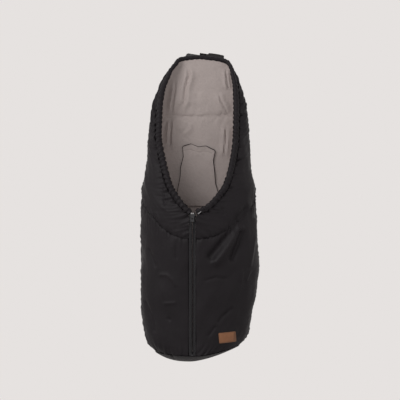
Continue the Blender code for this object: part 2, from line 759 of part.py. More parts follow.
def make_label(mats):
    turn = Matrix.Rotation(LABEL_TILT, 2)
    shape = bmesh.new()
    skins = []
    for lift in (LABEL_LIFT, LABEL_LIFT + LABEL_THICKNESS):
        grid = []
        for j in range(LABEL_CELLS[1] + 1):
            line = []
            for i in range(LABEL_CELLS[0] + 1):
                local = Vector((LABEL_WIDTH * (i / LABEL_CELLS[0] - 0.5),
                                LABEL_HEIGHT * (j / LABEL_CELLS[1] - 0.5)))
                across, up = turn @ local
                x = HALF_WIDTH * LABEL_X_SHARE + across
                z = up - BODY_LENGTH * LABEL_DROP_SHARE
                line.append(shape.verts.new(label_point(x, z, lift)))
            grid.append(line)
        skins.append(grid)
    for grid in skins:
        for a, b in zip(grid, grid[1:]):
            for i in range(LABEL_CELLS[0]):
                shape.faces.new((a[i], a[i + 1], b[i + 1], b[i]))
    near, far = skins
    for j in (0, LABEL_CELLS[1]):
        for i in range(LABEL_CELLS[0]):
            shape.faces.new((near[j][i], near[j][i + 1], far[j][i + 1], far[j][i]))
    for i in (0, LABEL_CELLS[0]):
        for j in range(LABEL_CELLS[1]):
            shape.faces.new((near[j][i], near[j + 1][i], far[j + 1][i], far[j][i]))
    add_object("leather_label", finish_mesh("leather_label", shape), mats["leather"])


def label_point(x, z, lift):
    drop = (HOOD_LIP - z) / BODY_LENGTH
    step = LABEL_THICKNESS
    y = front_face(x, drop)
    slope_x = (front_face(x + step, drop) - y) / step
    slope_z = (front_face(x, drop - step / BODY_LENGTH) - y) / step
    outward = Vector((slope_x, -1.0, slope_z)).normalized()
    return Vector((x, y, z)) + outward * lift


# The buckle's own frame: first axis from plug to socket, second across, third away from the bar
def buckle_frame():
    lean, skew = BUCKLE_LEAN, BUCKLE_SKEW
    third = Vector((0, -math.sin(lean), math.cos(lean)))
    first = Vector((math.cos(skew), -math.sin(skew) * math.cos(lean), -math.sin(skew) * math.sin(lean)))
    second = third.cross(first)
    radius = BAR_RADIUS + PLUG_BAR_DEPTH + CLEAR + web_half()
    place = Vector((BUCKLE_X, 0, -BAR_RADIUS)) + third * radius
    frame = Matrix((first, second, third)).transposed().to_4x4()
    frame.translation = place
    return frame


# Heights in the buckle's frame are counted from the middle of the webbing
def web_half():
    return WEBBING_THICKNESS / 2


def socket_left():
    return BUCKLE_LENGTH / 2 - SOCKET_LENGTH


def socket_outline():
    left, right = socket_left(), BUCKLE_LENGTH / 2
    wide, narrow = BUCKLE_WIDTH / 2, BUCKLE_END_WIDTH / 2
    points = []
    for i in range(SOCKET_BOW_STEPS + 1):
        t = i / SOCKET_BOW_STEPS
        turn = math.pi * (SOCKET_BOW_START_SHARE + (1 - SOCKET_BOW_START_SHARE) * t)
        bow = narrow + (wide - narrow) * max(math.sin(turn), 0.0) ** SOCKET_BOW_POWER
        points.append((left + (right - left) * t, bow))
    return points + [(x, -w) for x, w in reversed(points)]


def make_level_plate(name, outline, low, high, material):
    shape = bmesh.new()
    near = [shape.verts.new((x, y, low)) for x, y in outline]
    far = [shape.verts.new((x, y, high)) for x, y in outline]
    shape.faces.new(near)
    shape.faces.new(far)
    for i in range(len(outline)):
        j = (i + 1) % len(outline)
        shape.faces.new((near[i], near[j], far[j], far[i]))
    return add_object(name, finish_mesh(name, shape), material, smooth=False)


def tongue_low():
    return web_half() + CLEAR


def make_buckle(mats):
    frame = buckle_frame()
    plastic = mats["plastic"]
    left, right = socket_left(), BUCKLE_LENGTH / 2
    low = tongue_low() - BUCKLE_WALL / 2 - CLEAR
    high = low + BUCKLE_DEPTH
    mouth_half = BUCKLE_WIDTH / 2 - BUCKLE_WALL - CLEAR
    socket = make_level_plate("buckle_socket", socket_outline(), low, high, plastic)
    cave_low, cave_high = tongue_low() - CLEAR, tongue_low() + TONGUE_DEPTH + CLEAR + CAVE_ROOM
    cave_end = left + PLUG_TONGUE + CLEAR
    cave = make_box("socket_cave", (left - SOCKET_LENGTH, -mouth_half, cave_low),
                    (cave_end, mouth_half, cave_high), plastic)
    window_left = left + SOCKET_LENGTH * WINDOW_PLACE_SHARE
    window = make_box("socket_window", (window_left, -BUCKLE_WIDTH, cave_low),
                      (window_left + WINDOW_LENGTH, BUCKLE_WIDTH, cave_high), plastic)
    slot_half = WEBBING / 2 + CLEAR
    slot_start = right - SOCKET_SLOT_SHARE * SOCKET_LENGTH
    slot = make_box("socket_slot", (slot_start, -slot_half, low - BUCKLE_DEPTH),
                    (right + SOCKET_LENGTH, slot_half, web_half() + CLEAR), plastic)
    cutters = [cave, window, slot]
    for cutter in cutters:
        cut_with(socket, hide_guide(cutter))
    plug_parts = make_plug(plastic)
    for part in [socket, *cutters, *plug_parts]:
        part.matrix_world = frame @ part.matrix_world


def make_plug(plastic):
    left = socket_left()
    start = -BUCKLE_LENGTH / 2
    wide = BUCKLE_WIDTH / 2
    low, high = tongue_low(), tongue_low() + TONGUE_DEPTH
    inner = WEBBING / 2 + CLEAR
    block_start = start + PLUG_FRAME - PLUG_BAR
    base = -web_half() - CLEAR - PLUG_BAR_DEPTH
    plug = make_box("buckle_plug", (start, -wide, base), (start + PLUG_BAR, wide, -web_half() - CLEAR),
                    plastic)
    parts = []
    for word, side in (("left", -1), ("right", 1)):
        ys = sorted((side * inner, side * wide))
        rail = make_box("plug_rail_" + word, (start, ys[0], base), (block_start + PLUG_BAR, ys[1], high),
                        plastic)
        parts.append(rail)
    block = make_box("plug_block", (block_start, -wide, low), (left - CLEAR, wide, high), plastic)
    bar_x = (start + PLUG_BAR + block_start - PLUG_BAR) / 2
    bar = make_box("plug_middle_bar", (bar_x, -wide, low), (bar_x + PLUG_BAR, wide, high), plastic)
    tongue_half = PRONG_WIDTH
    tongue = make_box("plug_tongue", (block_start, -tongue_half, low), (left + PLUG_TONGUE - 2 * CLEAR,
                                                                      tongue_half, high), plastic)
    parts += [block, bar, tongue]
    for part in parts:
        join_with(plug, part)
    return [plug, *parts, *make_prongs(plastic, left)]


def prong_reach():
    return BUCKLE_WIDTH / 2 - BUCKLE_WALL - CLEAR - PRONG_SIDE_PLAY


def prong_middle():
    return tongue_low() + (PRONG_LIFT + TONGUE_DEPTH) / 2


def make_prongs(plastic, left):
    prongs = []
    low, high = tongue_low() + PRONG_LIFT, tongue_low() + TONGUE_DEPTH
    for word, side in (("left", -1), ("right", 1)):
        outer = prong_reach()
        inner = outer - PRONG_WIDTH
        tip = left + PLUG_TONGUE * PRONG_TIP_SHARE
        middle = (left + tip) / 2
        outline = [(left, inner), (middle, inner - CLEAR), (tip, inner + PRONG_WIDTH / 2),
                   (tip, outer - CLEAR), (middle, outer), (left, outer - CLEAR)]
        outline = [(x, side * y) for x, y in outline]
        prongs.append(make_level_plate("buckle_prong_" + word, outline, low, high, plastic))
    return prongs


# A flat strap swept along places with the way that its face looks
def make_strap(name, stations, mats):
    shape = bmesh.new()
    rings = []
    for i, (place, face) in enumerate(stations):
        before = stations[max(i - 1, 0)][0]
        after = stations[min(i + 1, len(stations) - 1)][0]
        along = (after - before).normalized()
        across = along.cross(face).normalized()
        normal = across.cross(along)
        half, rise = across * WEBBING / 2, normal * web_half()
        corners = (half + rise, -half + rise, -half - rise, half - rise)
        rings.append([shape.verts.new(place + corner) for corner in corners])
    for a, b in zip(rings, rings[1:]):
        for k in range(4):
            j = (k + 1) % 4
            shape.faces.new((a[k], a[j], b[j], b[k]))
    shape.faces.new(rings[0])
    shape.faces.new(rings[-1])
    add_object(name, finish_mesh(name, shape), mats["webbing"])


# Smooth stations through a route's knots of place and face
def smooth_route(knots, steps):
    stations = []
    last = len(knots) - 1
    for i in range(last):
        p0, p1 = knots[max(i - 1, 0)], knots[i]
        p2, p3 = knots[i + 1], knots[min(i + 2, last)]
        for k in range(steps):
            t = k / steps
            pull = p2[0] - p0[0]
            bend = 2 * p0[0] - 5 * p1[0] + 4 * p2[0] - p3[0]
            twist = 3 * p1[0] - p0[0] - 3 * p2[0] + p3[0]
            place = (2 * p1[0] + pull * t + bend * t ** 2 + twist * t ** 3) / 2
            stations.append((place, p1[1].lerp(p2[1], t).normalized()))
    stations.append(knots[-1])
    return stations


# Where a strap lies on the bar: a turn from the top towards the back, and a place along the bar
def on_bar(x, turn):
    face = Vector((0, math.sin(turn), math.cos(turn)))
    return Vector((x, 0, -BAR_RADIUS)) + face * wrap_radius(), face


def wrap_radius():
    return BAR_RADIUS + CLEAR + web_half()


# The turn at which a strap pulled straight from a place below the bar first touches it
def first_touch(place):
    below = place.z + BAR_RADIUS
    towards = math.atan2(place.y, below) % math.tau
    return towards - math.acos(wrap_radius() / math.hypot(place.y, below))


def make_straps(mats):
    frame = buckle_frame()
    third = frame.col[2].xyz
    back = BACK_Y + CLEAR + web_half()
    tail = socket_left() - CLEAR - WEBBING_THICKNESS
    straight = -BUCKLE_LENGTH / 2 - PLUG_TONGUE
    sewn_x, sewn_z = LEFT_SEWN_X, -LEFT_SEWN_DROP
    behind = Vector((0, 1, 0))
    sewn = [(Vector((sewn_x, back, sewn_z)), behind),
            (Vector((sewn_x, back, sewn_z + STRAP_SEWN)), behind)]
    touch = first_touch(sewn[1][0])
    wrap = []
    for k in range(WRAP_STEPS + 1):
        share = k / WRAP_STEPS
        drift = WRAP_DRIFT_SHARE * WEBBING * share ** WRAP_DRIFT_POWER
        wrap.append(on_bar(sewn_x + drift, touch + (WRAP_END - touch) * share))
    run = [(frame @ Vector((straight, 0, 0)), third),
           (frame @ Vector((straight + WEBBING / 2, 0, 0)), third)]
    leave = smooth_route(wrap[-2:] + run, STRAP_STEPS)[STRAP_STEPS + 1: 2 * STRAP_STEPS]
    stations = sewn + wrap + leave + [run[0], (frame @ Vector((tail, 0, 0)), third)]
    make_strap("strap_left", stations, mats)
    end = BUCKLE_LENGTH / 2
    start = end - SOCKET_SLOT_SHARE * SOCKET_LENGTH + CLEAR
    sewn = Vector((RIGHT_SEWN_X, back, -RIGHT_SEWN_DROP))
    bend = (frame @ Vector((end + BUCKLE_WALL, 0, 0)), third)
    between = Vector((RIGHT_SEWN_X, back, -RIGHT_SEWN_DROP + STRAP_SEWN))
    ahead = Vector((0, -1, 0))
    half_way = (bend[0] + between) / 2 + frame.col[0].xyz * WEBBING * RIGHT_BEND_SHARE
    knots = [bend, (half_way, (third + ahead).normalized()), (between, ahead)]
    stations = [(frame @ Vector((start, 0, 0)), third)] + smooth_route(knots, STRAP_STEPS) + [(sewn, ahead)]
    make_strap("strap_right", stations, mats)


def main():
    clear_scene()
    mats = {
        "shell": make_material("shell_cloth", (0.018, 0.016, 0.018), 0.55),
        "wadding": make_material("wadding", (0.80, 0.79, 0.77), 0.95),
        "fleece": make_material("fleece", (0.36, 0.31, 0.29), 0.95),
        "elastic": make_material("elastic", (0.03, 0.03, 0.03), 0.8),
        "tape": make_material("zip_tape", (0.02, 0.02, 0.022), 0.8),
        "coil": make_material("zip_coil", (0.04, 0.04, 0.045), 0.45),
        "metal": make_material("dark_metal", (0.10, 0.10, 0.105), 0.35, 1.0),
        "webbing": make_material("webbing", (0.02, 0.02, 0.022), 0.75),
        "plastic": make_material("plastic", (0.035, 0.032, 0.032), 0.45),
        "leather": make_material("leather", (0.22, 0.10, 0.055), 0.6),
    }
    make_bag_panels(mats)
    make_foot(mats)
    make_channel(mats)
    make_zip(mats)
    make_flap(mats)
    make_label(mats)
    make_buckle(mats)
    make_straps(mats)


main()
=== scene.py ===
# %% [markdown]
# A padded footmuff hangs by its strap, front to the viewer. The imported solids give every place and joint.
# This lesson dresses them: it loads them first and measures their box, so that the dressed part can be
# compared with it at the end.

# %% Load the frame
import math

import bmesh
import bpy
import numpy as np
from mathutils import Matrix, Vector, noise


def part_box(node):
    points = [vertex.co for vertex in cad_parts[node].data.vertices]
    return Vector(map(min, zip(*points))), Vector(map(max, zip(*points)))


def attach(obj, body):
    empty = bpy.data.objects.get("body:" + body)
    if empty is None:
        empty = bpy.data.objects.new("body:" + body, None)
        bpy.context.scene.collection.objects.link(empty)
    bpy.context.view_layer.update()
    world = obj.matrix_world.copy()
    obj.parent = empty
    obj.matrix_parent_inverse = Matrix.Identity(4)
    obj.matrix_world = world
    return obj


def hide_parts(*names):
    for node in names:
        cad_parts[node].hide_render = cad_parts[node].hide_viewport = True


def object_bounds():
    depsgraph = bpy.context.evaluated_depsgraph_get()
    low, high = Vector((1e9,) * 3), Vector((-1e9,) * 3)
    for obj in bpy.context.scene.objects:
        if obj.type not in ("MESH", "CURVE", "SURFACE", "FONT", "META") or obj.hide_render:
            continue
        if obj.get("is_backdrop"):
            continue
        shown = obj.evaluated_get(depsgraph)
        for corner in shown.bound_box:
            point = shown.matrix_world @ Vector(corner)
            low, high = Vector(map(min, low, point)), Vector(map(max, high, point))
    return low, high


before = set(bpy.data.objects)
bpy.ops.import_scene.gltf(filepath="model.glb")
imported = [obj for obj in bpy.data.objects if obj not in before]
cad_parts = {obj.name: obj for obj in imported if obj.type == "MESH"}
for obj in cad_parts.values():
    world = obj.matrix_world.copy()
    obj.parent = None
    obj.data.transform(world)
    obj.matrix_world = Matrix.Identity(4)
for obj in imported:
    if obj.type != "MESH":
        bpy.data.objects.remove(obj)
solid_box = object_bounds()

# %% [markdown]
# The picture's scale turns a place in it into metres. A long lens far away keeps the front and the back of
# the bag at nearly one scale, so that a seam lies where it was measured. A short lens would also work, but
# every place would then need its depth first.

# %% Camera
MM = 0.001
PIXEL = 2.5 * MM
PICTURE = 400
MIDDLE_X, ORIGIN_Y = 199.0, 57.5
CAMERA_REACH = 9.0
SENSOR = 36.0


def from_picture(x, y):
    return (x - MIDDLE_X) * PIXEL, (ORIGIN_Y - y) * PIXEL


def make_camera():
    camera = bpy.data.objects.new("camera", bpy.data.cameras.new("camera"))
    bpy.context.collection.objects.link(camera)
    x, z = from_picture(PICTURE / 2, PICTURE / 2)
    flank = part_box("back_shell")[0].y
    camera.location = (x, flank - CAMERA_REACH, z)
    camera.rotation_euler = (math.pi / 2, 0, 0)
    camera.data.sensor_width = SENSOR
    camera.data.lens = SENSOR * CAMERA_REACH / (PICTURE * PIXEL)
    camera.data.clip_end = 4 * CAMERA_REACH
    bpy.context.scene.camera = camera
    return camera


camera = make_camera()
print("camera", [round(c, 3) for c in camera.location], "lens", round(camera.data.lens, 1))

# %% [markdown]
# A shader is arithmetic on what the surface tells it. Wiring each sum by hand is slow to read, so one small
# class lets a socket be added and multiplied like a number, and one method makes any other node.

# %% Shader words
class Wire:
    def __init__(self, finish, socket):
        self.finish, self.socket = finish, socket

    def _sum(self, operation, first, second):
        return self.finish.node("ShaderNodeMath", {"operation": operation}, {0: first, 1: second})

    def __add__(self, other):
        return self._sum("ADD", self, other)

    def __radd__(self, other):
        return self._sum("ADD", other, self)

    def __sub__(self, other):
        return self._sum("SUBTRACT", self, other)

    def __rsub__(self, other):
        return self._sum("SUBTRACT", other, self)

    def __mul__(self, other):
        return self._sum("MULTIPLY", self, other)

    def __rmul__(self, other):
        return self._sum("MULTIPLY", other, self)

    def __truediv__(self, other):
        return self._sum("DIVIDE", self, other)

    def __pow__(self, other):
        return self._sum("POWER", self, other)


class Finish:
    def __init__(self, name, tree=None):
        if tree is None:
            self.material = bpy.data.materials.new(name)
            self.material.use_nodes = True
            tree = self.material.node_tree
            self.shader = tree.nodes["Principled BSDF"]
        self.tree = tree

    def node(self, kind, settings=None, inputs=None, out=0):
        made = self.tree.nodes.new(kind)
        for key, value in (settings or {}).items():
            if key == "stops":
                for element, (place, colour) in zip(self.stops(made, len(value)), value):
                    element.position, element.color = place, (*colour, 1.0)
            else:
                setattr(made, key, value)
        for key, value in (inputs or {}).items():
            self.feed(made.inputs[key], value)
        return Wire(self, made.outputs[out])

    def stops(self, ramp, count):
        elements = ramp.color_ramp.elements
        while len(elements) < count:
            elements.new(0.5)
        return elements

    def feed(self, socket, value):
        if isinstance(value, Wire):
            self.tree.links.new(value.socket, socket)
        elif isinstance(value, tuple) and len(value) == 3 and socket.type == "RGBA":
            socket.default_value = (*value, 1.0)
        else:
            socket.default_value = value

    def place(self):
        return self.node("ShaderNodeTexCoord", out="Object")

    def along(self):
        return self.node("ShaderNodeUVMap", {"uv_map": "cloth"})

    def split(self, vector):
        parts = self.node("ShaderNodeSeparateXYZ", None, {0: vector}).socket.node
        return [Wire(self, socket) for socket in parts.outputs]

    def cloud(self, vector, size, detail=2.0):
        return self.node("ShaderNodeTexNoise", None, {"Vector": vector, "Scale": 1 / size, "Detail": detail})

    def blend(self, share, first, second):
        made = self.tree.nodes.new("ShaderNodeMix")
        made.data_type = "RGBA"
        for key, value in ((0, share), (6, first), (7, second)):
            self.feed(made.inputs[key], value)
        return Wire(self, made.outputs[2])

    def wave(self, value, pitch):
        return self.node("ShaderNodeMath", {"operation": "SINE"}, {0: value * (math.tau / pitch)}) * 0.5 + 0.5

    def raise_by(self, height, depth):
        bump = self.node("ShaderNodeBump", None, {"Height": height, "Distance": depth, "Strength": 1.0})
        self.feed(self.shader.inputs["Normal"], bump)

    def set(self, **values):
        for key, value in values.items():
            self.feed(self.shader.inputs[key.replace("_", " ")], value)
        return self.material


# %% [markdown]
# Plain light: the sky lights everything softly, one large lamp stands up on the left and a weaker one on the
# right. The camera and glossy surfaces see the sky as the pale wall, and the lamps stay low enough that a
# colour renders about as it is written.

# %% Light, sky and floor
WALL = (0.791, 0.760, 0.745)
SKY_LIGHT = (0.46, 0.46, 0.46)
FLOOR_DROP = 1.1
FLOOR_SIZE = 5.0


def make_sky():
    world = bpy.data.worlds.new("sky")
    bpy.context.scene.world = world
    world.use_nodes = True
    sky = Finish("sky", world.node_tree)
    rays = sky.node("ShaderNodeLightPath").socket.node.outputs
    seen = Wire(sky, rays["Is Camera Ray"])
    for key in ("Is Glossy Ray", "Is Transmission Ray"):
        seen = sky.node("ShaderNodeMath", {"operation": "MAXIMUM"}, {0: seen, 1: Wire(sky, rays[key])})
    colour = sky.blend(seen, SKY_LIGHT, WALL)
    sky.feed(world.node_tree.nodes["Background"].inputs["Color"], colour)


def make_lamp(name, place, aim, size, watts):
    light = bpy.data.lights.new(name, "AREA")
    light.size, light.energy = size, watts
    lamp = bpy.data.objects.new(name, light)
    bpy.context.collection.objects.link(lamp)
    lamp.location = place
    lamp.rotation_euler = (Vector(aim) - Vector(place)).to_track_quat("-Z", "Y").to_euler()


def make_floor():
    shape = bmesh.new()
    bmesh.ops.create_grid(shape, x_segments=2, y_segments=2, size=FLOOR_SIZE / 2)
    bmesh.ops.translate(shape, verts=shape.verts, vec=(0, 0, -FLOOR_DROP))
    mesh = bpy.data.meshes.new("floor")
    shape.to_mesh(mesh)
    floor = bpy.data.objects.new("floor", mesh)
    bpy.context.collection.objects.link(floor)
    paint = Finish("floor_paint")
    mesh.materials.append(paint.set(Base_Color=WALL, Roughness=0.9))
    floor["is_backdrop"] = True


make_sky()
bag_middle = (0, -0.12, -0.36)
make_lamp("key_lamp", (-1.7, -1.9, 1.4), bag_middle, 1.4, 40)
make_lamp("fill_lamp", (1.8, -2.0, 0.1), bag_middle, 1.8, 5)
make_floor()
bpy.context.scene.view_settings.view_transform = "Standard"
print("wall", WALL, "floor at", -FLOOR_DROP)

# %% [markdown]
# The shell is a closely woven synthetic with a soft shine that shows its folds, the lining a brushed fleece,
# and the small parts are ribbed webbing, moulded plastic, dark plated metal and tan leather. A picture could
# be laid on each, but sums of noise and waves stay sharp from any distance. Weaves follow the cloth's own
# map and grain follows its place.

# %% Cloth finishes
def shell_finish():
    cloth = Finish("shell_cloth_finish")
    across, down, _ = cloth.split(cloth.along())
    weave = cloth.wave(across, 0.9 * MM) * cloth.wave(down, 0.9 * MM)
    cloud = cloth.cloud(cloth.place(), 38 * MM, 3.0)
    crush = cloth.cloud(cloth.place(), 7 * MM, 4.0)
    colour = cloth.blend(cloud, (0.0078, 0.0060, 0.0075), (0.0136, 0.0110, 0.0131))
    cloth.raise_by(weave * 0.12 + crush, 0.55 * MM)
    return cloth.set(Base_Color=colour, Roughness=0.44 + cloud * 0.2, Specular_IOR_Level=0.17)


def fleece_finish(name, light, dark):
    fleece = Finish(name)
    place = fleece.place()
    pile = fleece.cloud(place, 1.6 * MM, 3.0)
    tuft = fleece.cloud(place, 6 * MM, 2.0)
    drift = fleece.cloud(place, 60 * MM, 2.0)
    share = pile * 0.45 + tuft * 0.30 + drift * 0.25
    fleece.raise_by(pile * 0.6 + tuft, 1.0 * MM)
    return fleece.set(Base_Color=fleece.blend(share, dark, light), Roughness=0.95, Sheen_Weight=0.25,
                      Sheen_Roughness=0.6, Specular_IOR_Level=0.15)


def ribbed_finish(name, colour, pitch, shine):
    ribs = Finish(name)
    across, down, _ = ribs.split(ribs.along())
    rib = ribs.wave(down, pitch)
    thread = ribs.wave(across, pitch * 0.8)
    ribs.raise_by(rib + thread * 0.35, 0.35 * MM)
    # The ribs' crests are painted lighter and the grooves between them darker, along the same waves as the
    # bump: painted highlight and painted shade on the weave.
    lit = tuple(min(c * 1.9, 1.0) for c in colour)
    return ribs.set(Base_Color=ribs.blend(rib * thread, colour, lit), Roughness=shine)


# %% Hard finishes
LABEL_WIDE, LABEL_TALL, LABEL_THICK, LABEL_LIFT = 43 * MM, 26 * MM, 1.6 * MM, 0.8 * MM


def plastic_finish(name, colour, roughness, shine=0.3):
    plastic = Finish(name)
    grain = plastic.cloud(plastic.place(), 0.7 * MM, 2.0)
    wear = plastic.cloud(plastic.place(), 9 * MM, 4.0)
    lit = tuple(c * 1.5 for c in colour)
    plastic.raise_by(grain, 0.06 * MM)
    return plastic.set(Base_Color=plastic.blend(wear, colour, lit), Roughness=roughness + wear * 0.15,
                       Specular_IOR_Level=shine)


def metal_finish(name, dark, light):
    metal = Finish(name)
    wear = metal.cloud(metal.place(), 2.5 * MM, 3.0)
    metal.raise_by(wear, 0.04 * MM)
    colour = metal.blend(wear, dark, light)
    return metal.set(Base_Color=colour, Roughness=0.24 + wear * 0.2, Metallic=1.0)


def leather_finish():
    leather = Finish("tan_leather_finish")
    place = leather.place()
    pores = leather.node("ShaderNodeTexVoronoi", None, {"Vector": place, "Scale": 1 / (1.1 * MM)})
    stain = leather.cloud(place, 11 * MM, 4.0)
    across, down, _ = leather.split(leather.along())
    away = across
    for other in (LABEL_WIDE - across, down, LABEL_TALL - down):
        away = leather.node("ShaderNodeMath", {"operation": "MINIMUM"}, {0: away, 1: other})
    edge = leather.node("ShaderNodeMath", {"operation": "LESS_THAN"}, {0: away, 1: 1.2 * MM})
    tan = leather.blend(stain, (0.203, 0.076, 0.030), (0.314, 0.139, 0.062))
    worn = leather.blend(edge * 0.45, tan, (0.09, 0.04, 0.02))
    leather.raise_by(pores * 0.7 + stain * 0.5, 0.20 * MM)
    return leather.set(Base_Color=worn, Roughness=0.5 + stain * 0.2)


finishes = {
    "shell": shell_finish(),
    "fleece": fleece_finish("fleece_finish", (0.532, 0.459, 0.437), (0.336, 0.282, 0.265)),
    "webbing": ribbed_finish("webbing_finish", (0.013, 0.012, 0.013), 1.6 * MM, 0.7),
    "tape": ribbed_finish("zip_tape_finish", (0.012, 0.011, 0.013), 0.8 * MM, 0.6),
    "cord": ribbed_finish("elastic_finish", (0.02, 0.02, 0.02), 1.1 * MM, 0.8),
    "thread": plastic_finish("thread_finish", (0.010, 0.009, 0.010), 0.55),
    "tan_thread": plastic_finish("label_thread_finish", (0.12, 0.06, 0.03), 0.7),
    "coil": plastic_finish("zip_coil_finish", (0.022, 0.021, 0.023), 0.38),
    "plastic": plastic_finish("buckle_finish", (0.010, 0.009, 0.009), 0.55, 0.12),
    "metal": metal_finish("dark_plated_finish", (0.030, 0.030, 0.032), (0.095, 0.095, 0.10)),
    "silver": metal_finish("silver_plated_finish", (0.34, 0.34, 0.35), (0.60, 0.60, 0.61)),
    "leather": leather_finish(),
}
print("finishes", sorted(finishes))

# %% [markdown]
# The bag is one lofted surface. Its outline, mouth and depth were measured down its length, so a point of the
# cloth is found from three things: which side it is on, how far round from the middle of the back, and how
# far down. Cutting flat panels and joining them would be truer to the sewing, but the loft keeps every layer
# inside the solid that it stands for.

# %% The bag's driving sizes
LENGTH, HALF_WIDTH, DEPTH = 0.760, 0.150, 0.165
HOOD_LIP = 1 * MM
SHELL, LINING, GAP = 1.2 * MM, 2 * MM, 0.3 * MM
WADDING, WADDING_AT_TOP = 9 * MM, 1.5 * MM
BACK_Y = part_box("back_shell")[1].y
LEFT, RIGHT = -1, 1
OUTLINE_SHARES = (
    (0.000, 0.18, 0.24), (0.012, 0.345, 0.43), (0.032, 0.46, 0.56), (0.065, 0.605, 0.655),
    (0.110, 0.71, 0.735), (0.165, 0.785, 0.81), (0.265, 0.85, 0.85), (0.365, 0.88, 0.865),
    (0.440, 0.96, 0.95), (0.500, 0.967, 0.957), (0.600, 0.967, 0.98), (0.680, 0.967, 1.0),
    (0.760, 0.967, 0.955), (0.840, 0.955, 0.895), (0.900, 0.915, 0.825), (0.940, 0.85, 0.70),
    (0.960, 0.76, 0.58), (0.980, 0.65, 0.40), (1.000, 0.20, 0.10),
)
MOUTH_LEFT_SHARES = (
    (0.000, 0.165), (0.012, 0.325), (0.032, 0.435), (0.065, 0.565), (0.110, 0.665), (0.165, 0.715),
    (0.265, 0.733), (0.325, 0.685), (0.370, 0.633), (0.426, 0.55), (0.452, 0.483), (0.479, 0.383),
    (0.505, 0.267),
)
MOUTH_RIGHT_SHARES = (
    (0.000, 0.22), (0.012, 0.40), (0.032, 0.52), (0.065, 0.615), (0.110, 0.665), (0.165, 0.685),
    (0.265, 0.675), (0.304, 0.658), (0.344, 0.625), (0.383, 0.583), (0.422, 0.517), (0.442, 0.467),
    (0.462, 0.383), (0.485, 0.283), (0.508, 0.133),
)
DEPTH_SHARES = (
    (0.00, 0.11), (0.03, 0.20), (0.065, 0.31), (0.11, 0.43), (0.165, 0.53), (0.25, 0.67),
    (0.35, 0.82), (0.44, 0.93), (0.50, 0.985), (0.525, 1.0), (1.0, 1.0),
)
ROW_SHARES = np.array((
    (0.005, 0.015, 0.023, 0.054), (0.018, 0.027, 0.034, 0.067), (0.039, 0.045, 0.050, 0.084),
    (0.070, 0.071, 0.075, 0.104), (0.110, 0.111, 0.113, 0.134), (0.155, 0.157, 0.157, 0.172),
    (0.192, 0.195, 0.195, 0.212), (0.240, 0.244, 0.244, 0.264), (0.285, 0.290, 0.290, 0.322),
    (0.325, 0.334, 0.334, 0.378), (0.358, 0.370, 0.370, 0.424), (0.385, 0.397, 0.397, 0.458),
    (0.406, 0.417, 0.417, 0.486), (0.422, 0.433, 0.433, 0.508), (0.435, 0.447, 0.447, 0.525),
    (0.447, 0.457, 0.457, 0.560), (0.460, 0.468, 0.468, 0.596), (0.530, 0.540, 0.535, 0.660),
    (0.610, 0.620, 0.610, 0.725), (0.690, 0.700, 0.690, 0.790), (0.770, 0.775, 0.763, 0.845),
    (0.840, 0.843, 0.828, 0.890), (0.895, 0.895, 0.877, 0.925), (0.935, 0.935, 0.915, 0.953),
    (0.965, 0.967, 0.947, 0.977),
))
HEAD_ROW, MOUTH_FOOT_ROW, YOKE_ROW, LAST_ROW = 6, 14, 16, 24
FLAT_CELLS, BACK_CELLS, ALL_CELLS = 2, 5, 12
FLAT_BACK_SHARE, SIDE_DEPTH_SHARE, ROUNDNESS = 0.78, 0.38, 2.3
ZIP_TOP_SHARE = 0.525
ZIP_X = (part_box("zip_tape_left")[0].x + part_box("zip_tape_right")[1].x) / 2
ZIP_HALF = (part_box("zip_tape_right")[1].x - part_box("zip_tape_left")[0].x) / 2 + GAP
LAMINATE = SHELL + GAP + WADDING + GAP + LINING
print("zip at", round(ZIP_X, 4), "half", round(ZIP_HALF, 4), "back at", round(BACK_Y, 4))


# %% The bag's surface
def smooth_curve(table, column=1):
    xs = np.array([row[0] for row in table])
    ys = np.array([row[column] for row in table])
    slopes = np.diff(ys) / np.diff(xs)
    before, after = slopes[:-1], slopes[1:]
    total = np.where(before + after == 0, 1.0, before + after)
    inner = np.where(before * after > 0, 2 * before * after / total, 0.0)
    bends = np.concatenate((slopes[:1], inner, slopes[-1:]))

    def at(share):
        share = np.clip(share, xs[0], xs[-1])
        i = np.clip(np.searchsorted(xs, share, side="right") - 1, 0, len(xs) - 2)
        step = xs[i + 1] - xs[i]
        t = (share - xs[i]) / step
        return ((1 + 2 * t) * (1 - t) ** 2 * ys[i] + t * (1 - t) ** 2 * step * bends[i]
                + t * t * (3 - 2 * t) * ys[i + 1] + t * t * (t - 1) * step * bends[i + 1])

    return at


def with_zip(table, side):
    edge = side * (ZIP_X + side * ZIP_HALF) / HALF_WIDTH
    return table + ((ZIP_TOP_SHARE, edge), (1.0, edge))


reach_left, reach_right = smooth_curve(OUTLINE_SHARES, 1), smooth_curve(OUTLINE_SHARES, 2)
mouth_left = smooth_curve(with_zip(MOUTH_LEFT_SHARES, LEFT))
mouth_right = smooth_curve(with_zip(MOUTH_RIGHT_SHARES, RIGHT))
depth_share = smooth_curve(DEPTH_SHARES)


def ease(t):
    return t * t * (3 - 2 * t)


def signed_power(value, power):
    return np.copysign(np.abs(value) ** power, value)


def drop_at(side, cell, row):
    columns = [np.interp(row, np.arange(LAST_ROW + 1), ROW_SHARES[:, k]) for k in range(4)]
    back, left, right, front = columns
    flank = np.where(side < 0, left, right)
    round_back = back + (flank - back) * np.minimum(cell / BACK_CELLS, 1.0)
    share = np.clip((cell - BACK_CELLS) / (ALL_CELLS - BACK_CELLS), 0.0, 1.0)
    return np.where(cell <= BACK_CELLS, round_back, flank + (front - flank) * ease(share))


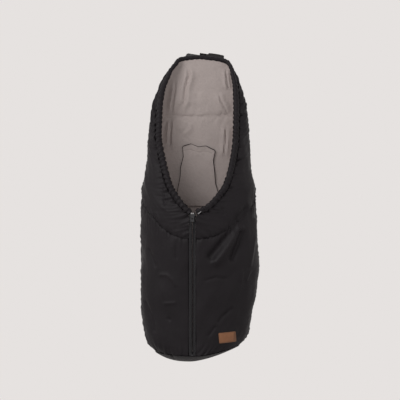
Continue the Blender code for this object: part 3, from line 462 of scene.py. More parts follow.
def bag(side, cell, row, sunk=0.0):
    side, cell, row = (np.asarray(v, float) for v in np.broadcast_arrays(side, cell, row))
    drop = drop_at(side, cell, row)
    full = HALF_WIDTH * np.where(side < 0, reach_left(drop), reach_right(drop))
    reach = full - sunk
    depth = DEPTH * depth_share(drop)
    flank = SIDE_DEPTH_SHARE * depth
    flat = FLAT_BACK_SHARE * reach
    corner = np.pi / 2 * np.clip((cell - FLAT_CELLS) / (BACK_CELLS - FLAT_CELLS), 0.0, 1.0)
    x_back = np.where(cell <= FLAT_CELLS, flat * cell / FLAT_CELLS, flat + (reach - flat) * np.sin(corner))
    y_back = np.where(cell <= FLAT_CELLS, sunk, flank - (flank - sunk) * np.cos(corner))
    edge = HALF_WIDTH * np.where(side < 0, mouth_left(drop), mouth_right(drop))
    loose = 1 - ease(np.clip(drop / ZIP_TOP_SHARE, 0.9, 1.0) * 10 - 9)
    edge = edge * (1 - sunk / full * loose)
    first = np.arcsin(np.clip(signed_power(edge / reach, ROUNDNESS / 2), -1.0, 1.0))
    share = np.clip((cell - BACK_CELLS) / (ALL_CELLS - BACK_CELLS), 0.0, 1.0)
    turn = np.pi / 2 + (first - np.pi / 2) * share
    x_front = reach * signed_power(np.sin(turn), 2 / ROUNDNESS)
    y_front = flank + (depth - flank - sunk) * np.maximum(np.cos(turn), 0.0) ** (2 / ROUNDNESS)
    x = np.where(cell <= BACK_CELLS, x_back, x_front)
    y = np.where(cell <= BACK_CELLS, y_back, y_front)
    return np.stack((side * x, BACK_Y - y, HOOD_LIP - drop * LENGTH), axis=-1)


def wadding_at(side, cell, row):
    share = np.minimum(drop_at(np.asarray(side, float), np.asarray(cell, float), row) / 0.16, 1.0)
    return WADDING_AT_TOP + (WADDING - WADDING_AT_TOP) * ease(share)


print("widest", round(float(bag(RIGHT, BACK_CELLS, 19)[0]), 4), "of", round(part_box("back_shell")[1].x, 4))

# %% [markdown]
# Cloth has two faces and an edge, so every panel here is two grids of points joined round the rim. A single
# sheet would be quicker, but it shows as paper thin at an opening. The cloth's own map is the length walked
# over the surface, so a weave keeps its size everywhere.

# %% Closed panels
def walked(points):
    across = np.linalg.norm(np.diff(points, axis=1), axis=2)
    down = np.linalg.norm(np.diff(points, axis=0), axis=2)
    across = np.pad(np.cumsum(across, axis=1), ((0, 0), (1, 0)))
    down = np.pad(np.cumsum(down, axis=0), ((1, 0), (0, 0)))
    return across, down


def outward_normals(points):
    facing = np.cross(np.gradient(points, axis=1), np.gradient(points, axis=0))
    facing /= np.maximum(np.linalg.norm(facing, axis=2, keepdims=True), 1e-12)
    heart = np.array((0.0, BACK_Y - DEPTH / 2, 0.0))
    away = points - heart
    away[..., 2] = 0.0
    return facing if np.sum(facing * away) > 0 else -facing


def closed_panel(name, outer, inner, finish, wrapped=False, crease=50):
    rows, columns = outer.shape[:2]
    count = rows * columns
    verts = np.concatenate((outer.reshape(-1, 3), inner.reshape(-1, 3)))
    base = np.arange(count).reshape(rows, columns)
    face = np.stack((base[:-1, :-1], base[:-1, 1:], base[1:, 1:], base[1:, :-1]), -1).reshape(-1, 4)
    faces = [face, face[:, ::-1] + count]
    edges = [(base[0, :-1], base[0, 1:]), (base[-1, 1:], base[-1, :-1])]
    if not wrapped:
        edges += [(base[1:, 0], base[:-1, 0]), (base[:-1, -1], base[1:, -1])]
    faces += [np.stack((b, a, a + count, b + count), -1) for a, b in edges]
    mesh = bpy.data.meshes.new(name)
    mesh.from_pydata(verts.tolist(), [], np.concatenate(faces).tolist())
    across, down = walked(outer)
    spots = np.tile(np.stack((across, down), -1).reshape(-1, 2), (2, 1))
    corners = np.empty(len(mesh.loops), int)
    mesh.loops.foreach_get("vertex_index", corners)
    mesh.uv_layers.new(name="cloth").data.foreach_set("uv", spots[corners].ravel())
    return closed_object(name, mesh, finish, crease)


def closed_object(name, mesh, finish, crease=50):
    shape = bmesh.new()
    shape.from_mesh(mesh)
    bmesh.ops.remove_doubles(shape, verts=shape.verts, dist=1e-6)
    bmesh.ops.recalc_face_normals(shape, faces=shape.faces)
    shape.to_mesh(mesh)
    shape.free()
    mesh.materials.clear()
    mesh.materials.append(finishes[finish])
    mesh.shade_smooth()
    mesh.set_sharp_from_angle(angle=math.radians(crease))
    piece = bpy.data.objects.new(name, mesh)
    bpy.context.collection.objects.link(piece)
    return piece


def dress(piece, body, nodes=()):
    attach(piece, body)
    if nodes:
        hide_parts(*nodes)
    print(piece.name, len(piece.data.vertices), "points")
    return piece


def plain_mesh(piece):
    graph = bpy.context.evaluated_depsgraph_get()
    mesh = bpy.data.meshes.new_from_object(piece.evaluated_get(graph))
    piece.modifiers.clear()
    piece.data = mesh
    return piece


# %% [markdown]
# Padded cloth is drawn down at its seams, puckers beside them, billows between them, and keeps the folds that
# hanging gives it. Each of these is a height above the loft. The folds' lines were traced in the picture, and
# how deep and how wide each one is, in millimetres, was judged. A cloth simulation would give folds of its
# own, but not in these places.

# %% Heights on the cloth
SEAM_DRAW, SEAM_REACH = 3.2 * MM, 4.5 * MM
HEM_DRAW = 0.8 * MM
PUCKER, PUCKER_REACH = 1.9 * MM, 19 * MM
MOUTH_PUCKER, MOUTH_REACH = 3.0 * MM, 24 * MM
BILLOW, BILLOW_SIZE = 3.4 * MM, 62 * MM
RIPPLE, RIPPLE_SIZE = 1.1 * MM, 21 * MM
FOLD_END_SHARE = 0.25
FRONT_FOLDS = (
    (((246.3, 210.8), (234.1, 226.8), (222, 242.2), (211.4, 255.9)), -10.0, 11.0),
    (((238.7, 228.4), (226.6, 246.7), (216, 260.5)), 9.0, 11.0),
    (((241, 233), (238.7, 243.7), (232.6, 257.5)), -9.0, 8.0),
    (((254.6, 219.2), (256.1, 231.4), (252.3, 249.8), (250, 265.1)), 2.6, 4.0),
    (((240.9, 280), (242.5, 271)), 2.0, 3.0),
    (((246.5, 279), (250, 271)), 2.0, 3.0),
    (((205.4, 279.7), (216, 276.6), (225, 278.1)), -2.4, 3.2),
    (((231, 308), (222, 315.7), (219, 320.3)), -3.2, 4.2),
    (((214.4, 326.4), (209.1, 334)), -2.8, 4.0),
    (((159.9, 274.3), (167.5, 274.3), (172.8, 278.9), (175.8, 284.3)), 2.4, 3.6),
    (((165.2, 302.6), (175, 301.9)), 2.2, 3.6),
    (((168.5, 317.5), (169.5, 318.5)), -2.4, 4.0),
    (((176.6, 240.6), (176.6, 257.5)), -2.0, 3.2),
    (((162.9, 190.1), (165.2, 204.6)), -2.6, 2.8),
    (((167.5, 193.1), (167.2, 202.3)), -2.2, 2.6),
    (((149.3, 249.8), (155.4, 265.1)), -2.4, 4.0),
    (((146.3, 301.9), (152.3, 317.2), (154.6, 329.4)), -2.6, 4.2),
    (((219, 203.9), (225, 213.1)), -2.4, 2.8),
    (((247.5, 110), (248.5, 112)), -4.0, 5.0),
)
LINING_FOLDS = (
    (((175.5, 75.6), (174.9, 89.6), (172.3, 104.3), (170.4, 121.5), (169.7, 140.3), (169.2, 155)), 14, 4.6),
    (((187.6, 64.1), (188.9, 75.6), (185.7, 85.8), (184.4, 100.5), (178.1, 112)), 13, 5.6),
    (((226.2, 67.3), (227.2, 80.7), (229.1, 89.6)), 9, 3.6),
    (((218.3, 90.5), (221.4, 100.5), (225.9, 108.8), (227.8, 114.5)), 9, 4.2),
    (((226.4, 122.7), (226.4, 133), (225.3, 147.6), (224.2, 159.4)), 9, 4.2),
    (((189, 119.5), (186.8, 127.5), (180, 134)), 7, 5.5),
    (((197.2, 89.6), (197.2, 105.6)), 3, 8),
)


def clouds(*coordinates):
    flat = [np.broadcast_to(c, coordinates[0].shape).ravel() for c in coordinates]
    return np.array([noise.noise(Vector(p)) for p in zip(*flat)]).reshape(coordinates[0].shape)


# How far each point lies from a traced line, and the share of a fold that is left there if it dies out at
# both ends of the line
def line_distance(x, z, line):
    spots = [from_picture(*p) for p in line]
    best, share = np.full(x.shape, 9.0), np.zeros(x.shape)
    for i, ((ax, az), (bx, bz)) in enumerate(zip(spots, spots[1:])):
        long_sq = (bx - ax) ** 2 + (bz - az) ** 2
        t = np.clip(((x - ax) * (bx - ax) + (z - az) * (bz - az)) / long_sq, 0.0, 1.0)
        away = np.hypot(x - ax - t * (bx - ax), z - az - t * (bz - az))
        share = np.where(away < best, (i + t) / (len(spots) - 1), share)
        best = np.minimum(best, away)
    return best, ease(np.clip(np.minimum(share, 1 - share) / FOLD_END_SHARE, 0.0, 1.0))


def fold_height(points, folds):
    height = np.zeros(points.shape[:2])
    for line, depth, width in folds:
        away, _ = line_distance(points[..., 0], points[..., 2], line)
        height += depth * MM * np.exp(-(away / (width * MM)) ** 2)
    return height


# A crease in the lining lies between two ridges and no deeper than the lining, so the wadding stays whole
def crease_height(points, folds):
    height = np.zeros(points.shape[:2])
    for line, rise, width in folds:
        away, left = line_distance(points[..., 0], points[..., 2], line)
        away = away / (width * MM)
        height += rise * MM * left * (np.exp(-(away / 2) ** 2) - np.exp(-away ** 2))
    return height


# Seams are given as the sides that are sewn: left, right, top and foot. A calm side has no puckers. The
# mouth's side isn't drawn down, as the channel is sewn on there, and is gathered more.
def pad_height(points, seams, seed, fullness=1.0, calm=(), mouth=""):
    across, down = walked(points)
    from_sides = {"left": across, "right": across[:, -1:] - across,
                  "top": down, "foot": down[-1:, :] - down}
    height = BILLOW * fullness * clouds(across / BILLOW_SIZE, down / BILLOW_SIZE, seed)
    height += RIPPLE * fullness * clouds(across / RIPPLE_SIZE, down / (1.5 * RIPPLE_SIZE), seed + 7)
    fade = np.ones(points.shape[:2])
    for word in seams:
        away = from_sides[word]
        draw = 0.0 if word == mouth else HEM_DRAW if word == "foot" and "top" in seams else SEAM_DRAW
        height -= draw * np.exp(-away / SEAM_REACH)
        fade *= 1 - np.exp(-away / (3 * SEAM_REACH))
        if word not in calm:
            pinch, reach = (MOUTH_PUCKER, MOUTH_REACH) if word == mouth else (PUCKER, PUCKER_REACH)
            level = down if word in ("left", "right") else across
            pleats = clouds(level / (7 * MM), away / (38 * MM), seed + 13)
            height += pinch * np.exp(-away / reach) * pleats * 2
    return height, fade


def panel_grid(left, right, top, foot, columns, rows):
    signed = np.linspace(left, right, columns)[None, :]
    row = np.linspace(top, foot, rows)[:, None]
    side = np.where(signed < 0, LEFT, RIGHT) * np.ones_like(row)
    return side, np.abs(signed) * np.ones_like(row), row * np.ones_like(signed)


# %% [markdown]
# The outside is six padded pieces: the back, a yoke on each side from the hood to the curved seam, a front on
# each side of the zip and the foot. Each is made in one go from the loft and its heights, which stay flat
# where the label is sewn on. The other way, inflating each panel, would lose the traced folds.

# %% Outside panels
LABEL_X, LABEL_Z, LABEL_TILT = 70.5 * MM, -696.5 * MM, math.radians(5)
LABEL_FADE = 16 * MM
HOOD_RAISE = 5 * MM
HARNESS_WIDE, HARNESS_TALL, HARNESS_TOP, HARNESS_CORNER = 60 * MM, 90 * MM, -245 * MM, 12 * MM


def off_label(points):
    x, z = points[..., 0] - LABEL_X, points[..., 2] - LABEL_Z
    along = np.abs(x * math.cos(LABEL_TILT) + z * math.sin(LABEL_TILT)) - LABEL_WIDE / 2
    upward = np.abs(z * math.cos(LABEL_TILT) - x * math.sin(LABEL_TILT)) - LABEL_TALL / 2
    away = np.hypot(np.maximum(along, 0), np.maximum(upward, 0))
    front = points[..., 1] < BACK_Y - DEPTH / 2
    return np.where(front, ease(np.clip(away / LABEL_FADE, 0, 1)), 1.0)


# The back's top edge reaches up into the channel
def hood_raise(row, cell):
    return HOOD_RAISE * np.clip(1 - row, 0, 1) * np.clip(1 - cell / BACK_CELLS, 0, 1)


def make_pad(name, grid, seams, seed, nodes, folds=(), calm=(), mouth=""):
    side, cell, row = grid
    points = bag(side, cell, row)
    facing = outward_normals(points)
    height, fade = pad_height(points, seams, seed, 1.0, calm, mouth)
    if folds:
        height += fold_height(points, folds) * fade
    thick = SHELL + GAP + wadding_at(side, cell, row)
    outer = points + facing * (height * off_label(points))[..., None]
    outer[..., 2] += hood_raise(row, cell)
    return dress(closed_panel(name, outer, bag(side, cell, row, thick), "shell"), "bag",
                 nodes)


def cut_harness_opening(piece):
    shape = bmesh.new()
    size = Matrix.Diagonal((HARNESS_WIDE, 60 * MM, HARNESS_TALL, 1))
    place = Matrix.Translation((0, BACK_Y, HARNESS_TOP - HARNESS_TALL / 2)) @ size
    bmesh.ops.create_cube(shape, size=1.0, matrix=place)
    level = [e for e in shape.edges if abs(e.verts[0].co.y - e.verts[1].co.y) > 10 * MM]
    bmesh.ops.bevel(shape, geom=level, offset=HARNESS_CORNER, segments=8, profile=0.5, affect="EDGES")
    mesh = bpy.data.meshes.new("opening")
    shape.to_mesh(mesh)
    shape.free()
    cutter = bpy.data.objects.new("opening", mesh)
    bpy.context.collection.objects.link(cutter)
    cut = piece.modifiers.new("opening", "BOOLEAN")
    cut.operation, cut.object, cut.solver = "DIFFERENCE", cutter, "EXACT"
    plain_mesh(piece)
    bpy.data.objects.remove(cutter)


back = make_pad("back_pad", panel_grid(-BACK_CELLS, BACK_CELLS, 0, LAST_ROW, 110, 230),
                ("left", "right", "foot"), 3.1, ("back_shell", "back_wadding"))
cut_harness_opening(back)
for word, hand, seed in (("left", LEFT, 11.7), ("right", RIGHT, 23.9)):
    ends = (hand * ALL_CELLS, hand * BACK_CELLS)
    left, right = min(ends), max(ends)
    make_pad("yoke_pad_" + word, panel_grid(left, right, 0, YOKE_ROW, 90, 170),
             ("left", "right", "foot"), seed, ("yoke_" + word, "front_wadding_" + word), FRONT_FOLDS,
             mouth=word)
    make_pad("front_pad_" + word, panel_grid(left, right, YOKE_ROW, LAST_ROW, 90, 150),
             ("left", "right", "top", "foot"), seed + 5, ("front_shell_" + word,), FRONT_FOLDS, calm=(word,))

# %% [markdown]
# The foot is a shallow bowl sewn round the bag's lower edge, fuller on the left than on the right. It is made
# as rings that shrink to a point, so that the hem can pucker and the pleat at the left can be pressed in.

# %% Foot
FOOT_CENTRE_SHARE, FOOT_CORNER_SHARE = -0.15, 1.5
FOOT_LEFT_FULLNESS, FOOT_RIGHT_FULLNESS = 2.6, 1.6
FOOT_RINGS, FOOT_ROUND = 46, 25
PLEAT = ((171.3, 352.4), (175.8, 360.1))
PLEAT_DEPTH, PLEAT_WIDTH = 14 * MM, 2.8 * MM


def foot_rim():
    steps = np.linspace(0, ALL_CELLS, ALL_CELLS * FOOT_ROUND + 1)
    left = bag(LEFT, steps[::-1], LAST_ROW)
    right = bag(RIGHT, steps[1:], LAST_ROW)
    return np.concatenate((left, right, left[:1]))


FOOT_CENTRE = np.array((FOOT_CENTRE_SHARE * HALF_WIDTH, BACK_Y - DEPTH / 2))


# The share of the way out to the rim at which the bag's walls begin
def rim_inside(rim):
    arm = np.linalg.norm(rim[:, :2] - FOOT_CENTRE, axis=1)
    return (1 - FOOT_CORNER_SHARE * (LAMINATE + GAP) / arm)[:, None]


def bowl(rim, lift, narrow):
    arm = rim[:, :2] - FOOT_CENTRE
    lean = (1 + arm[:, 0] / np.linalg.norm(arm, axis=1)) / 2
    full = FOOT_LEFT_FULLNESS + (FOOT_RIGHT_FULLNESS - FOOT_LEFT_FULLNESS) * lean
    bottom = HOOD_LIP - LENGTH + lift
    share = (1 - np.linspace(0, 1, FOOT_RINGS) ** 1.4)[:, None]
    rise = (rim[:, 2] - SHELL - GAP - HOOD_LIP + LENGTH) * share ** full
    inside = FOOT_CENTRE + arm * share[..., None] * narrow
    return np.concatenate((inside, (bottom + rise)[..., None]), axis=2)


def make_foot():
    rim = foot_rim()
    outer = bowl(rim, 0.0, 1.0)
    across, down = walked(outer)
    hem = 0.9 * MM * np.exp(-down / (12 * MM)) * clouds(across / (6 * MM), down / (30 * MM), 41.0)
    drawn = -HEM_DRAW * np.exp(-down / SEAM_REACH)
    away, _ = line_distance(outer[..., 0], outer[..., 2], PLEAT)
    pleat = -PLEAT_DEPTH * np.exp(-(away / PLEAT_WIDTH) ** 2)
    front = np.clip((BACK_Y - outer[..., 1]) / DEPTH * 3 - 2, 0, 1)
    outward = np.sign(BACK_Y - DEPTH / 2 - outer[..., 1])
    outer[..., 1] -= (hem + drawn + pleat * front) * outward
    inside = rim_inside(rim)
    piece = closed_panel("foot_pad", outer, bowl(rim, SHELL + GAP + WADDING, inside), "shell", wrapped=True)
    dress(piece, "bag", ("foot_gusset", "foot_wadding"))
    thin = SHELL + GAP + WADDING + GAP
    lined = closed_panel("foot_fleece", bowl(rim, thin + LINING, inside), bowl(rim, thin, inside), "fleece",
                         wrapped=True)
    dress(lined, "bag", ("foot_lining",))


make_foot()

# %% [markdown]
# The fleece lining follows the same loft, sunk by the thickness of shell and wadding. Inside, the cloth is
# pushed together as the bag hangs, which gives the long upright folds, and one seam crosses the head end. A
# fold pressed outwards would come through the thin wadding of the hood, so each stands up as two ridges.

# %% Fleece lining
# The fronts' fleece ends this many cells before the mouth's edge, where the channel covers its end
FLEECE_TRIM = 0.2


def make_lining(name, grid, seams, seed, nodes, folds=LINING_FOLDS):
    side, cell, row = grid
    sunk = SHELL + GAP + wadding_at(side, cell, row) + GAP
    outer, inner = bag(side, cell, row, sunk), bag(side, cell, row, sunk + LINING)
    facing = outward_normals(inner)
    height, fade = pad_height(inner, seams, seed, 0.5)
    inner -= facing * (height + crease_height(inner, folds) * fade)[..., None]
    inner[..., 2] += hood_raise(row, cell)
    return dress(closed_panel(name, inner, outer, "fleece"), "bag", nodes)


make_lining("head_fleece", panel_grid(-BACK_CELLS, BACK_CELLS, 0, HEAD_ROW, 110, 80), ("foot",), 51.0,
            ("head_lining",))
seat = make_lining("back_fleece", panel_grid(-BACK_CELLS, BACK_CELLS, HEAD_ROW, LAST_ROW, 110, 160),
                   ("top",), 57.0, ("back_lining",))
cut_harness_opening(seat)
for word, hand, seed in (("left", LEFT, 61.0), ("right", RIGHT, 67.0)):
    ends = (hand * (ALL_CELLS - FLEECE_TRIM), hand * BACK_CELLS)
    make_lining("front_fleece_" + word, panel_grid(min(ends), max(ends), 0, LAST_ROW, 60, 200), (), seed,
                ("front_lining_" + word,), ())

# %% [markdown]
# An inverted-U flap of fleece over dark cloth covers the harness opening. Its top edge stands off in a slow
# wave and throws the thin dark line in the picture, so it is made as its own cloth with that edge measured.
# The fleece is cut 1.4 mm inside the dark backing, so a thin rim of backing shows all round it as painted
# shade along the flap's edge.

# %% Harness flap
flap_low, flap_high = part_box("harness_flap_lining")
backing_low, backing_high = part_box("harness_flap_backing")
FLAP_FOOT = ORIGIN_Y - backing_low.z / PIXEL
FLAP_TOP_EDGE = ((182.3, 145.1), (189.3, 143.3), (198.1, 146.3), (206.8, 145.4), (214.6, 148.9))
FLAP_LEFT_EDGE = ((147.5, 182.3), (156, 183), (166.6, 180.3), (175.7, 179.9), (192.7, 176.6),
                  (FLAP_FOOT, MIDDLE_X + backing_low.x / PIXEL))
FLAP_RIGHT_EDGE = ((151.4, 215.3), (159.5, 213.5), (170.7, 214.8), (183.2, 215.8), (195.2, 219.3),
                   (FLAP_FOOT, MIDDLE_X + backing_high.x / PIXEL))
FLAP_HEM, FLAP_STAND, FLAP_CORNER = 14 * MM, 3.5 * MM, 5 * MM
FLAP_TAPER, FLAP_TUCK = 26 * MM, 5 * MM
# At its foot the fleece is still this thick, or its unevenness would let the backing through
FLAP_LEAST = 1.3 * MM


def flap_grid(inset):
    u = np.linspace(0, 1, 70)[None, :]
    v = np.linspace(0, 1, 90)[:, None]
    top_x = [p[0] for p in FLAP_TOP_EDGE]
    top = np.interp(top_x[0] + (top_x[-1] - top_x[0]) * u, top_x, [p[1] for p in FLAP_TOP_EDGE])
    y = top + (FLAP_FOOT - top) * v
    left = np.interp(y, [p[0] for p in FLAP_LEFT_EDGE], [p[1] for p in FLAP_LEFT_EDGE])
    right = np.interp(y, [p[0] for p in FLAP_RIGHT_EDGE], [p[1] for p in FLAP_RIGHT_EDGE])
    left, right = left + inset / PIXEL, right - inset / PIXEL
    x, z = from_picture(left + (right - left) * u, y + inset / PIXEL * (1 - v))
    below = (y - top) * PIXEL
    short = np.clip(FLAP_CORNER - below, 0, FLAP_CORNER)
    round_off = FLAP_CORNER - np.sqrt(np.maximum(FLAP_CORNER ** 2 - short ** 2, 0))
    half = (right - left) * PIXEL / 2
    tuck = FLAP_TUCK * ease(np.clip(1 - (z - backing_low.z) / FLAP_TAPER, 0, 1)) * (inset == 0)
    middle = x.mean(axis=1, keepdims=True)
    return middle + (x - middle) * (half - round_off - tuck) / half, z, below, u


def make_flap():
    for name, front, rear, inset, finish, node in (
            # The fleece's 1.4 mm inset lets a thin rim of dark backing show round it: painted shade along the
            # flap's edge.
            ("flap_fleece", flap_low.y, flap_high.y, 1.4 * MM, "fleece", "harness_flap_lining"),
            ("flap_backing", flap_high.y - GAP, backing_high.y, 0.0, "shell", "harness_flap_backing")):
        x, z, below, u = flap_grid(inset)
        lift = FLAP_STAND * np.exp(-below / (16 * MM)) * (0.75 + 0.25 * np.cos(u * 4 * math.pi))
        hem = 0.9 * MM * np.exp(-((below - FLAP_HEM) / (1.3 * MM)) ** 2)
        soft = 1.0 * MM * clouds(x / (30 * MM), z / (30 * MM), 71.0)
        taper = ease(np.clip(1 - (z - backing_low.z) / FLAP_TAPER, 0, 1)) * (rear - front - FLAP_LEAST)
        face = front - lift + hem + (soft + taper) * (finish == "fleece")
        outer = np.stack((x, face, z), -1)
        inner = np.stack((x, np.maximum(rear - lift, face + 0.3 * MM), z), -1)
        piece = closed_panel(name, outer, inner, finish)
        dress(piece, "harness_flap", (node,))


make_flap()

# %% [markdown]
# Round the mouth runs a channel of shell cloth, gathered on an elastic cord. Gathers are close, uneven ridges
# across the tube, with larger bunches where the cloth has slid together. The tube is swept along the edge of
# the cloth and its radius is what the gathers change.

# %% Mouth channel and cord
CHANNEL_RADIUS, CHANNEL_WALL = 7.2 * MM, 1.2 * MM
CHANNEL_TOP_SIZE_SHARE, CHANNEL_STAND_OFF, CHANNEL_TOP_STAND_OFF = 0.42, 0.7 * MM, 1.9 * MM
CHANNEL_STATIONS, CHANNEL_ROUND, CHANNEL_TRIM = 900, 28, 8 * MM
CORD_RADIUS = 2.4 * MM
LOBE_PITCH, RIB_PITCH = 12.5 * MM, 4.6 * MM
LOBE_SIZE, RIB_SIZE = 0.5, 0.2
# At the hood the gathers are this share of those at the mouth's foot, and none is thinner than the least.
# Towards the bag's edge the tube widens by the hold, so that it closes on the cloth it is sewn to.
HOOD_SHARE, LEAST_SWELL, HOLD = 0.35, 0.84, 0.34


def mouth_edge():
    rows = np.linspace(MOUTH_FOOT_ROW, 0, 57)[:-1]
    cells = np.linspace(ALL_CELLS, 0, 49)
    sides = [LEFT] * (len(rows) + len(cells)) + [RIGHT] * (len(rows) + len(cells) - 1)
    edge = np.full(len(rows), ALL_CELLS)
    cell = np.concatenate((edge, cells, cells[::-1][1:], edge))
    row = np.concatenate((rows, np.zeros(2 * len(cells) - 1), rows[::-1]))
    side = np.array(sides, float)
    deep = LAMINATE - WADDING + wadding_at(side, cell, row)
    skin, under = bag(side, cell, row), bag(side, cell, row, deep)
    return (skin + under) / 2, skin - under, deep / LAMINATE


def unit(vectors):
    return vectors / np.maximum(np.linalg.norm(vectors, axis=-1, keepdims=True), 1e-12)


def smoothed(values, times):
    for _ in range(times):
        middle = (values[:-2] + 2 * values[1:-1] + values[2:]) / 4
        values = np.concatenate((values[:1], middle, values[-1:]))
    return values


def channel_route():
    place, out, share = mouth_edge()
    along = unit(np.gradient(place, axis=0))
    into = unit(np.cross(along, unit(out)))
    radius = CHANNEL_RADIUS * (CHANNEL_TOP_SIZE_SHARE + (1 - CHANNEL_TOP_SIZE_SHARE) * share)
    stand = CHANNEL_STAND_OFF + (CHANNEL_TOP_STAND_OFF - CHANNEL_STAND_OFF) * 2 * (1 - share)
    line = place + into * (radius + stand)[:, None]
    length = np.concatenate(((0.0,), np.cumsum(np.linalg.norm(np.diff(line, axis=0), axis=1))))
    goal = np.linspace(CHANNEL_TRIM, length[-1] - CHANNEL_TRIM, CHANNEL_STATIONS)
    even = [np.stack([np.interp(goal, length, v[:, k]) for k in range(3)], -1) for v in (line, into)]
    line, into = smoothed(even[0], 60), unit(smoothed(even[1], 60))
    return line, into, np.interp(goal, length, radius), goal


def tube_points(line, into, radius):
    along = unit(np.gradient(line, axis=0))
    level = unit(into - along * np.sum(into * along, axis=1, keepdims=True))
    third = np.cross(along, level)
    turn = np.linspace(0, math.tau, radius.shape[1])[None, :, None]
    return line[:, None] + radius[..., None] * (level[:, None] * np.cos(turn) + third[:, None] * np.sin(turn))


def gathers(goal, turn):
    s = goal[:, None] + 0 * turn
    slide = 7 * MM * clouds(s / (24 * MM), 0.4 * np.cos(turn) + 0 * s, 83.0)
    slant = 2.4 * MM * np.sin(turn + s / (60 * MM))
    lobe = np.abs(np.sin(math.pi * (s + slide + slant) / LOBE_PITCH))
    rib = np.abs(np.sin(math.pi * (s + slide - slant) / RIB_PITCH))
    size = 1 + 0.9 * clouds(s / (31 * MM), np.cos(turn) * 0.5 + 0 * s, np.sin(turn) * 0.5 + 0 * s)
    low = HOOD_SHARE + (1 - HOOD_SHARE) * np.abs(2 * s / (goal[0] + goal[-1]) - 1) ** 1.5
    return low * (LOBE_SIZE * size * (lobe - 0.62) + RIB_SIZE * (rib - 0.62))


def make_channel():
    line, into, radius, goal = channel_route()
    turn = np.linspace(0, math.tau, CHANNEL_ROUND + 1)[None, :]
    swell = np.maximum(1 + gathers(goal, turn), LEAST_SWELL) + HOLD * np.maximum(-np.cos(turn), 0) ** 2
    swell[:, -1] = swell[:, 0]
    outer = tube_points(line, into, radius[:, None] * swell)
    inner = tube_points(line, into, (radius[:, None] - CHANNEL_WALL) * 0.9 * np.ones_like(swell))
    channel = closed_panel("gathered_channel", outer, inner, "shell", wrapped=True, crease=80)
    dress(channel, "bag", ("mouth_channel",))
    girth = np.minimum(CORD_RADIUS, radius - CHANNEL_WALL - GAP)[:, None]
    thin = tube_points(line[::3], into[::3], np.repeat(girth[::3], 13, axis=1))
    core = tube_points(line[::3], into[::3], np.repeat(girth[::3] * 0.2, 13, axis=1))
    cord = closed_panel("elastic_core", thin, core, "cord", wrapped=True)
    dress(cord, "bag", ("elastic_cord",))
    print("channel length", round(float(goal[-1] - goal[0]), 3))
    return line


channel_line = make_channel()

# %% [markdown]
# A coil zip closes the front. Its tapes are ribbed cloth, and its teeth are one small loop repeated down each
# side, which is work for Geometry Nodes: a line is resampled at the pitch, a loop is put on every point and
# the result becomes a plain mesh. The same tree lays thread stitches along seams.

# %% Repeating along a line
def repeat_tree():
    tree = bpy.data.node_groups.new("repeat_along_line", "GeometryNodeTree")
    face = tree.interface
    face.new_socket("Line", in_out="INPUT", socket_type="NodeSocketGeometry")
    for word in ("Pitch", "Across", "Deep", "Along"):
        face.new_socket(word, in_out="INPUT", socket_type="NodeSocketFloat")
    face.new_socket("Finish", in_out="INPUT", socket_type="NodeSocketMaterial")
    face.new_socket("Pieces", in_out="OUTPUT", socket_type="NodeSocketGeometry")
    add = tree.nodes.new
    start, end = add("NodeGroupInput"), add("NodeGroupOutput")
    curve, even, bead = add("GeometryNodeMeshToCurve"), add("GeometryNodeResampleCurve"), add(
        "GeometryNodeMeshIcoSphere")
    even.mode = "LENGTH"
    bead.inputs["Subdivisions"].default_value = 2
    bead.inputs["Radius"].default_value = 0.5
    tangent, turn, size = add("GeometryNodeInputTangent"), add("FunctionNodeAlignRotationToVector"), add(
        "ShaderNodeCombineXYZ")
    turn.axis = "Z"
    lay, real, paint = add("GeometryNodeInstanceOnPoints"), add("GeometryNodeRealizeInstances"), add(
        "GeometryNodeSetMaterial")
    join = tree.links.new
    join(start.outputs["Line"], curve.inputs["Mesh"])
    join(curve.outputs["Curve"], even.inputs["Curve"])
    join(start.outputs["Pitch"], even.inputs["Length"])
    join(even.outputs["Curve"], lay.inputs["Points"])
    join(bead.outputs["Mesh"], lay.inputs["Instance"])
    join(tangent.outputs["Tangent"], turn.inputs["Vector"])
    join(turn.outputs["Rotation"], lay.inputs["Rotation"])
    for word, key in (("Across", "X"), ("Deep", "Y"), ("Along", "Z")):
        join(start.outputs[word], size.inputs[key])
    join(size.outputs["Vector"], lay.inputs["Scale"])
    join(lay.outputs["Instances"], real.inputs["Geometry"])
    join(real.outputs["Geometry"], paint.inputs["Geometry"])
    join(start.outputs["Finish"], paint.inputs["Material"])
    join(paint.outputs["Geometry"], end.inputs["Pieces"])
    return tree


REPEAT = repeat_tree()


def repeat_along(name, line, pitch, across, deep, along, finish):
    mesh = bpy.data.meshes.new(name)
    mesh.from_pydata([tuple(p) for p in line], [(i, i + 1) for i in range(len(line) - 1)], [])
    piece = bpy.data.objects.new(name, mesh)
    bpy.context.collection.objects.link(piece)
    layer = piece.modifiers.new("repeat", "NODES")
    layer.node_group = REPEAT
    values = {"Pitch": pitch, "Across": across, "Deep": deep, "Along": along, "Finish": finishes[finish]}
    for item in REPEAT.interface.items_tree:
        if item.in_out == "INPUT" and item.name in values:
            layer[item.identifier] = values[item.name]
    plain_mesh(piece)
    piece.data.shade_smooth()
    return piece


